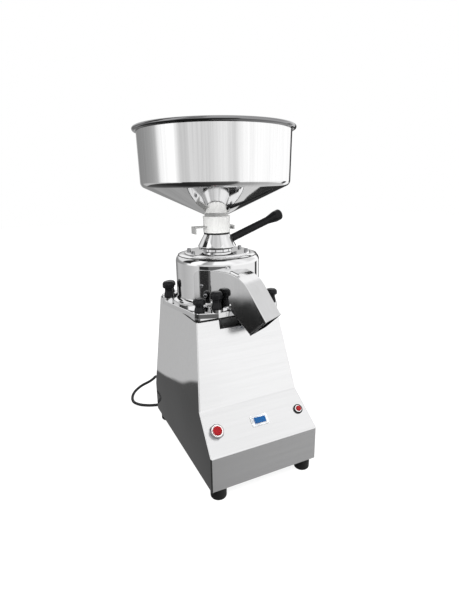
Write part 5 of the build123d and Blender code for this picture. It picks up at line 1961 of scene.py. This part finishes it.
@dataclass
class Studio:
    """White floor, soft lamps, reflections and the camera."""

    camera_place: Point = (-371.13 * MM, -804.77 * MM, 591.34 * MM)
    camera_forward: Point = (0.41472, 0.86491, -0.28274)
    camera_up: Point = (0.13722, 0.24772, 0.95906)
    lens: float = 24.73
    sensor: float = 36
    floor_size: float = 12
    floor_grey: float = 0.30
    floor_roughness: float = 0.9
    floor_glow: float = 0.84

    def camera(self) -> None:
        """Puts the camera where the photograph was taken."""
        data = bpy.data.cameras.new("camera")
        data.lens = self.lens
        data.sensor_width = self.sensor
        data.clip_start = 0.01
        view = bpy.data.objects.new("camera", data)
        bpy.context.collection.objects.link(view)
        ahead = Vector(self.camera_forward).normalized()
        side = ahead.cross(Vector(self.camera_up)).normalized()
        above = side.cross(ahead)
        turn = Matrix((side, above, -ahead)).transposed().to_4x4()
        view.matrix_world = Matrix.Translation(self.camera_place) @ turn
        bpy.context.scene.camera = view

    def floor(self) -> None:
        """Lays a white floor that keeps a soft shadow."""
        clear_selection()
        bpy.ops.mesh.primitive_plane_add(size=self.floor_size, location=(0, 0, 0))
        ground = bpy.context.object
        ground.name = "studio_floor"
        ground.visible_glossy = False
        material = bpy.data.materials.new("studio_floor")
        material.use_nodes = True
        nodes = material.node_tree.nodes
        links = material.node_tree.links
        shader = nodes["Principled BSDF"]
        shader.inputs["Base Color"].default_value = (*[self.floor_grey] * 3, 1)
        shader.inputs["Roughness"].default_value = self.floor_roughness
        shader.inputs["Specular IOR Level"].default_value = 0.0
        rays = nodes.new("ShaderNodeLightPath")
        glow = add_node(nodes, "ShaderNodeMath", {1: self.floor_glow}, operation="MULTIPLY")
        links.new(rays.outputs["Is Camera Ray"], glow.inputs[0])
        shader.inputs["Emission Color"].default_value = (1, 1, 1, 1)
        links.new(glow.outputs[0], shader.inputs["Emission Strength"])
        ground.data.materials.append(material)

    def surroundings(self) -> None:
        """Builds the world: white behind the mill, a studio room in its reflections."""
        world = bpy.data.worlds.new("studio")
        bpy.context.scene.world = world
        world.use_nodes = True
        tree = world.node_tree
        tree.nodes.clear()
        output = tree.nodes.new("ShaderNodeOutputWorld")
        rays = tree.nodes.new("ShaderNodeLightPath")
        reflected = tree.nodes.new("ShaderNodeBackground")
        tree.links.new(self._room(tree), reflected.inputs["Color"])
        soft = add_node(tree.nodes, "ShaderNodeBackground", {"Color": (1, 1, 1, 1)})
        white = add_node(tree.nodes, "ShaderNodeBackground", {"Color": (1, 1, 1, 1)})
        glossy = self._choose(tree, rays.outputs["Is Glossy Ray"], soft, reflected)
        seen = self._choose(tree, rays.outputs["Is Camera Ray"], glossy, white)
        tree.links.new(seen.outputs[0], output.inputs["Surface"])

    def _choose(self, tree: bpy.types.NodeTree, factor: bpy.types.NodeSocket, first: bpy.types.Node,
                second: bpy.types.Node) -> bpy.types.Node:
        """Shader that is the second one where the factor is 1, else the first.

        Args:
            tree: The world's nodes.
            factor: Socket with the factor.
            first: The first shader.
            second: The second shader.

        Returns:
            The node that mixes them.
        """
        mix = tree.nodes.new("ShaderNodeMixShader")
        tree.links.new(factor, mix.inputs[0])
        tree.links.new(first.outputs[0], mix.inputs[1])
        tree.links.new(second.outputs[0], mix.inputs[2])
        return mix

    def _room(self, tree: bpy.types.NodeTree) -> bpy.types.NodeSocket:
        """Brightness of the studio room in every direction, in four layers from floor to ceiling.

        Args:
            tree: The world's nodes.

        Returns:
            Socket with the brightness.
        """
        where = tree.nodes.new("ShaderNodeTexCoord").outputs["Generated"]
        split = tree.nodes.new("ShaderNodeSeparateXYZ")
        tree.links.new(where, split.inputs[0])
        back = self._math(tree, "MULTIPLY", split.outputs["Y"], -1)
        azimuth = self._math(tree, "ARCTAN2", split.outputs["X"], back)
        scaled = self._math(tree, "MULTIPLY", azimuth, 1 / FULL_TURN)
        share = self._math(tree, "ADD", scaled, 0.5)
        drop = self._math(tree, "MULTIPLY", self._ramp(tree, share, FLOOR_EDGE_RISE), -1)
        over_floor = self._math(tree, "ADD", split.outputs["Z"], drop)
        shade = self._ramp(tree, share, FLOOR_SHADES)
        height = split.outputs["Z"]
        for source, band, level in ((over_floor, LOW_BAND, LOW_SHADES), (height, WALL_BAND, WALL_SHADES),
                                    (height, CEILING_BAND, CEILING_SHADES)):
            shade = self._blend(tree, self._step(tree, source, band), shade,
                                self._ramp(tree, share, level))
        return shade

    def _math(self, tree: bpy.types.NodeTree, operation: str, first: bpy.types.NodeSocket,
              second: bpy.types.NodeSocket | float) -> bpy.types.NodeSocket:
        """Result of one sum on two values.

        Args:
            tree: The world's nodes.
            operation: Blender's name for the sum.
            first: Socket with the first value.
            second: The second value or its socket.

        Returns:
            Socket with the result.
        """
        node = add_node(tree.nodes, "ShaderNodeMath", operation=operation)
        tree.links.new(first, node.inputs[0])
        if isinstance(second, float | int):
            node.inputs[1].default_value = second
        else:
            tree.links.new(second, node.inputs[1])
        return node.outputs[0]

    def _step(self, tree: bpy.types.NodeTree, value: bpy.types.NodeSocket,
              band: tuple[float, float]) -> bpy.types.NodeSocket:
        """0 below a band of heights, 1 above it.

        Args:
            tree: The world's nodes.
            value: Socket with the height.
            band: Where the band begins and ends.

        Returns:
            Socket with the result.
        """
        node = add_node(tree.nodes, "ShaderNodeMapRange", {"From Min": band[0], "From Max": band[1]})
        tree.links.new(value, node.inputs["Value"])
        return node.outputs["Result"]

    def _ramp(self, tree: bpy.types.NodeTree, share: bpy.types.NodeSocket,
              stops: Sequence[tuple[float, float]]) -> bpy.types.NodeSocket:
        """Brightness round the horizon.

        Args:
            tree: The world's nodes.
            share: The direction as a share of the full turn.
            stops: Directions in degrees, 0 towards the front, and their brightness.

        Returns:
            The brightness.
        """
        ramp = tree.nodes.new("ShaderNodeValToRGB")
        elements = ramp.color_ramp.elements
        for index, (angle, value) in enumerate(stops):
            position = angle / 360 + 0.5
            element = elements[index] if index < 2 else elements.new(position)
            element.position = position
            element.color = (value, value, value, 1)
        tree.links.new(share, ramp.inputs["Fac"])
        return ramp.outputs["Color"]

    def _blend(self, tree: bpy.types.NodeTree, factor: bpy.types.NodeSocket,
               first: bpy.types.NodeSocket, second: bpy.types.NodeSocket) -> bpy.types.NodeSocket:
        """Mixes two brightnesses by a factor.

        Args:
            tree: The world's nodes.
            factor: Socket with the factor.
            first: Socket with the brightness at 0.
            second: Socket with the brightness at 1.

        Returns:
            Socket with the mixed brightness.
        """
        mix = add_node(tree.nodes, "ShaderNodeMix", data_type="RGBA")
        tree.links.new(factor, mix.inputs["Factor"])
        tree.links.new(first, mix.inputs["A"])
        tree.links.new(second, mix.inputs["B"])
        return mix.outputs["Result"]

    def build(self) -> None:
        """Sets up the whole studio."""
        self.camera()
        self.floor()
        for lamp in LAMPS:
            lamp.build()
        self.surroundings()
        settings = bpy.context.scene.view_settings
        settings.view_transform = "Standard"


def main() -> None:
    """Builds the mill and its studio in order."""
    logging.basicConfig(level=logging.INFO, format="%(message)s")
    clear_selection()
    Studio().build()
    dress_cad_nodes()
    MainsLead().build()
    Cabinet().build()
    PlateShadowStrips().build()
    Controls().build()
    GrindingHead().build()
    Lever().build()
    Chute().build()
    Knobs().build()
    Hopper().build()


if __name__ == "__main__":
    main()
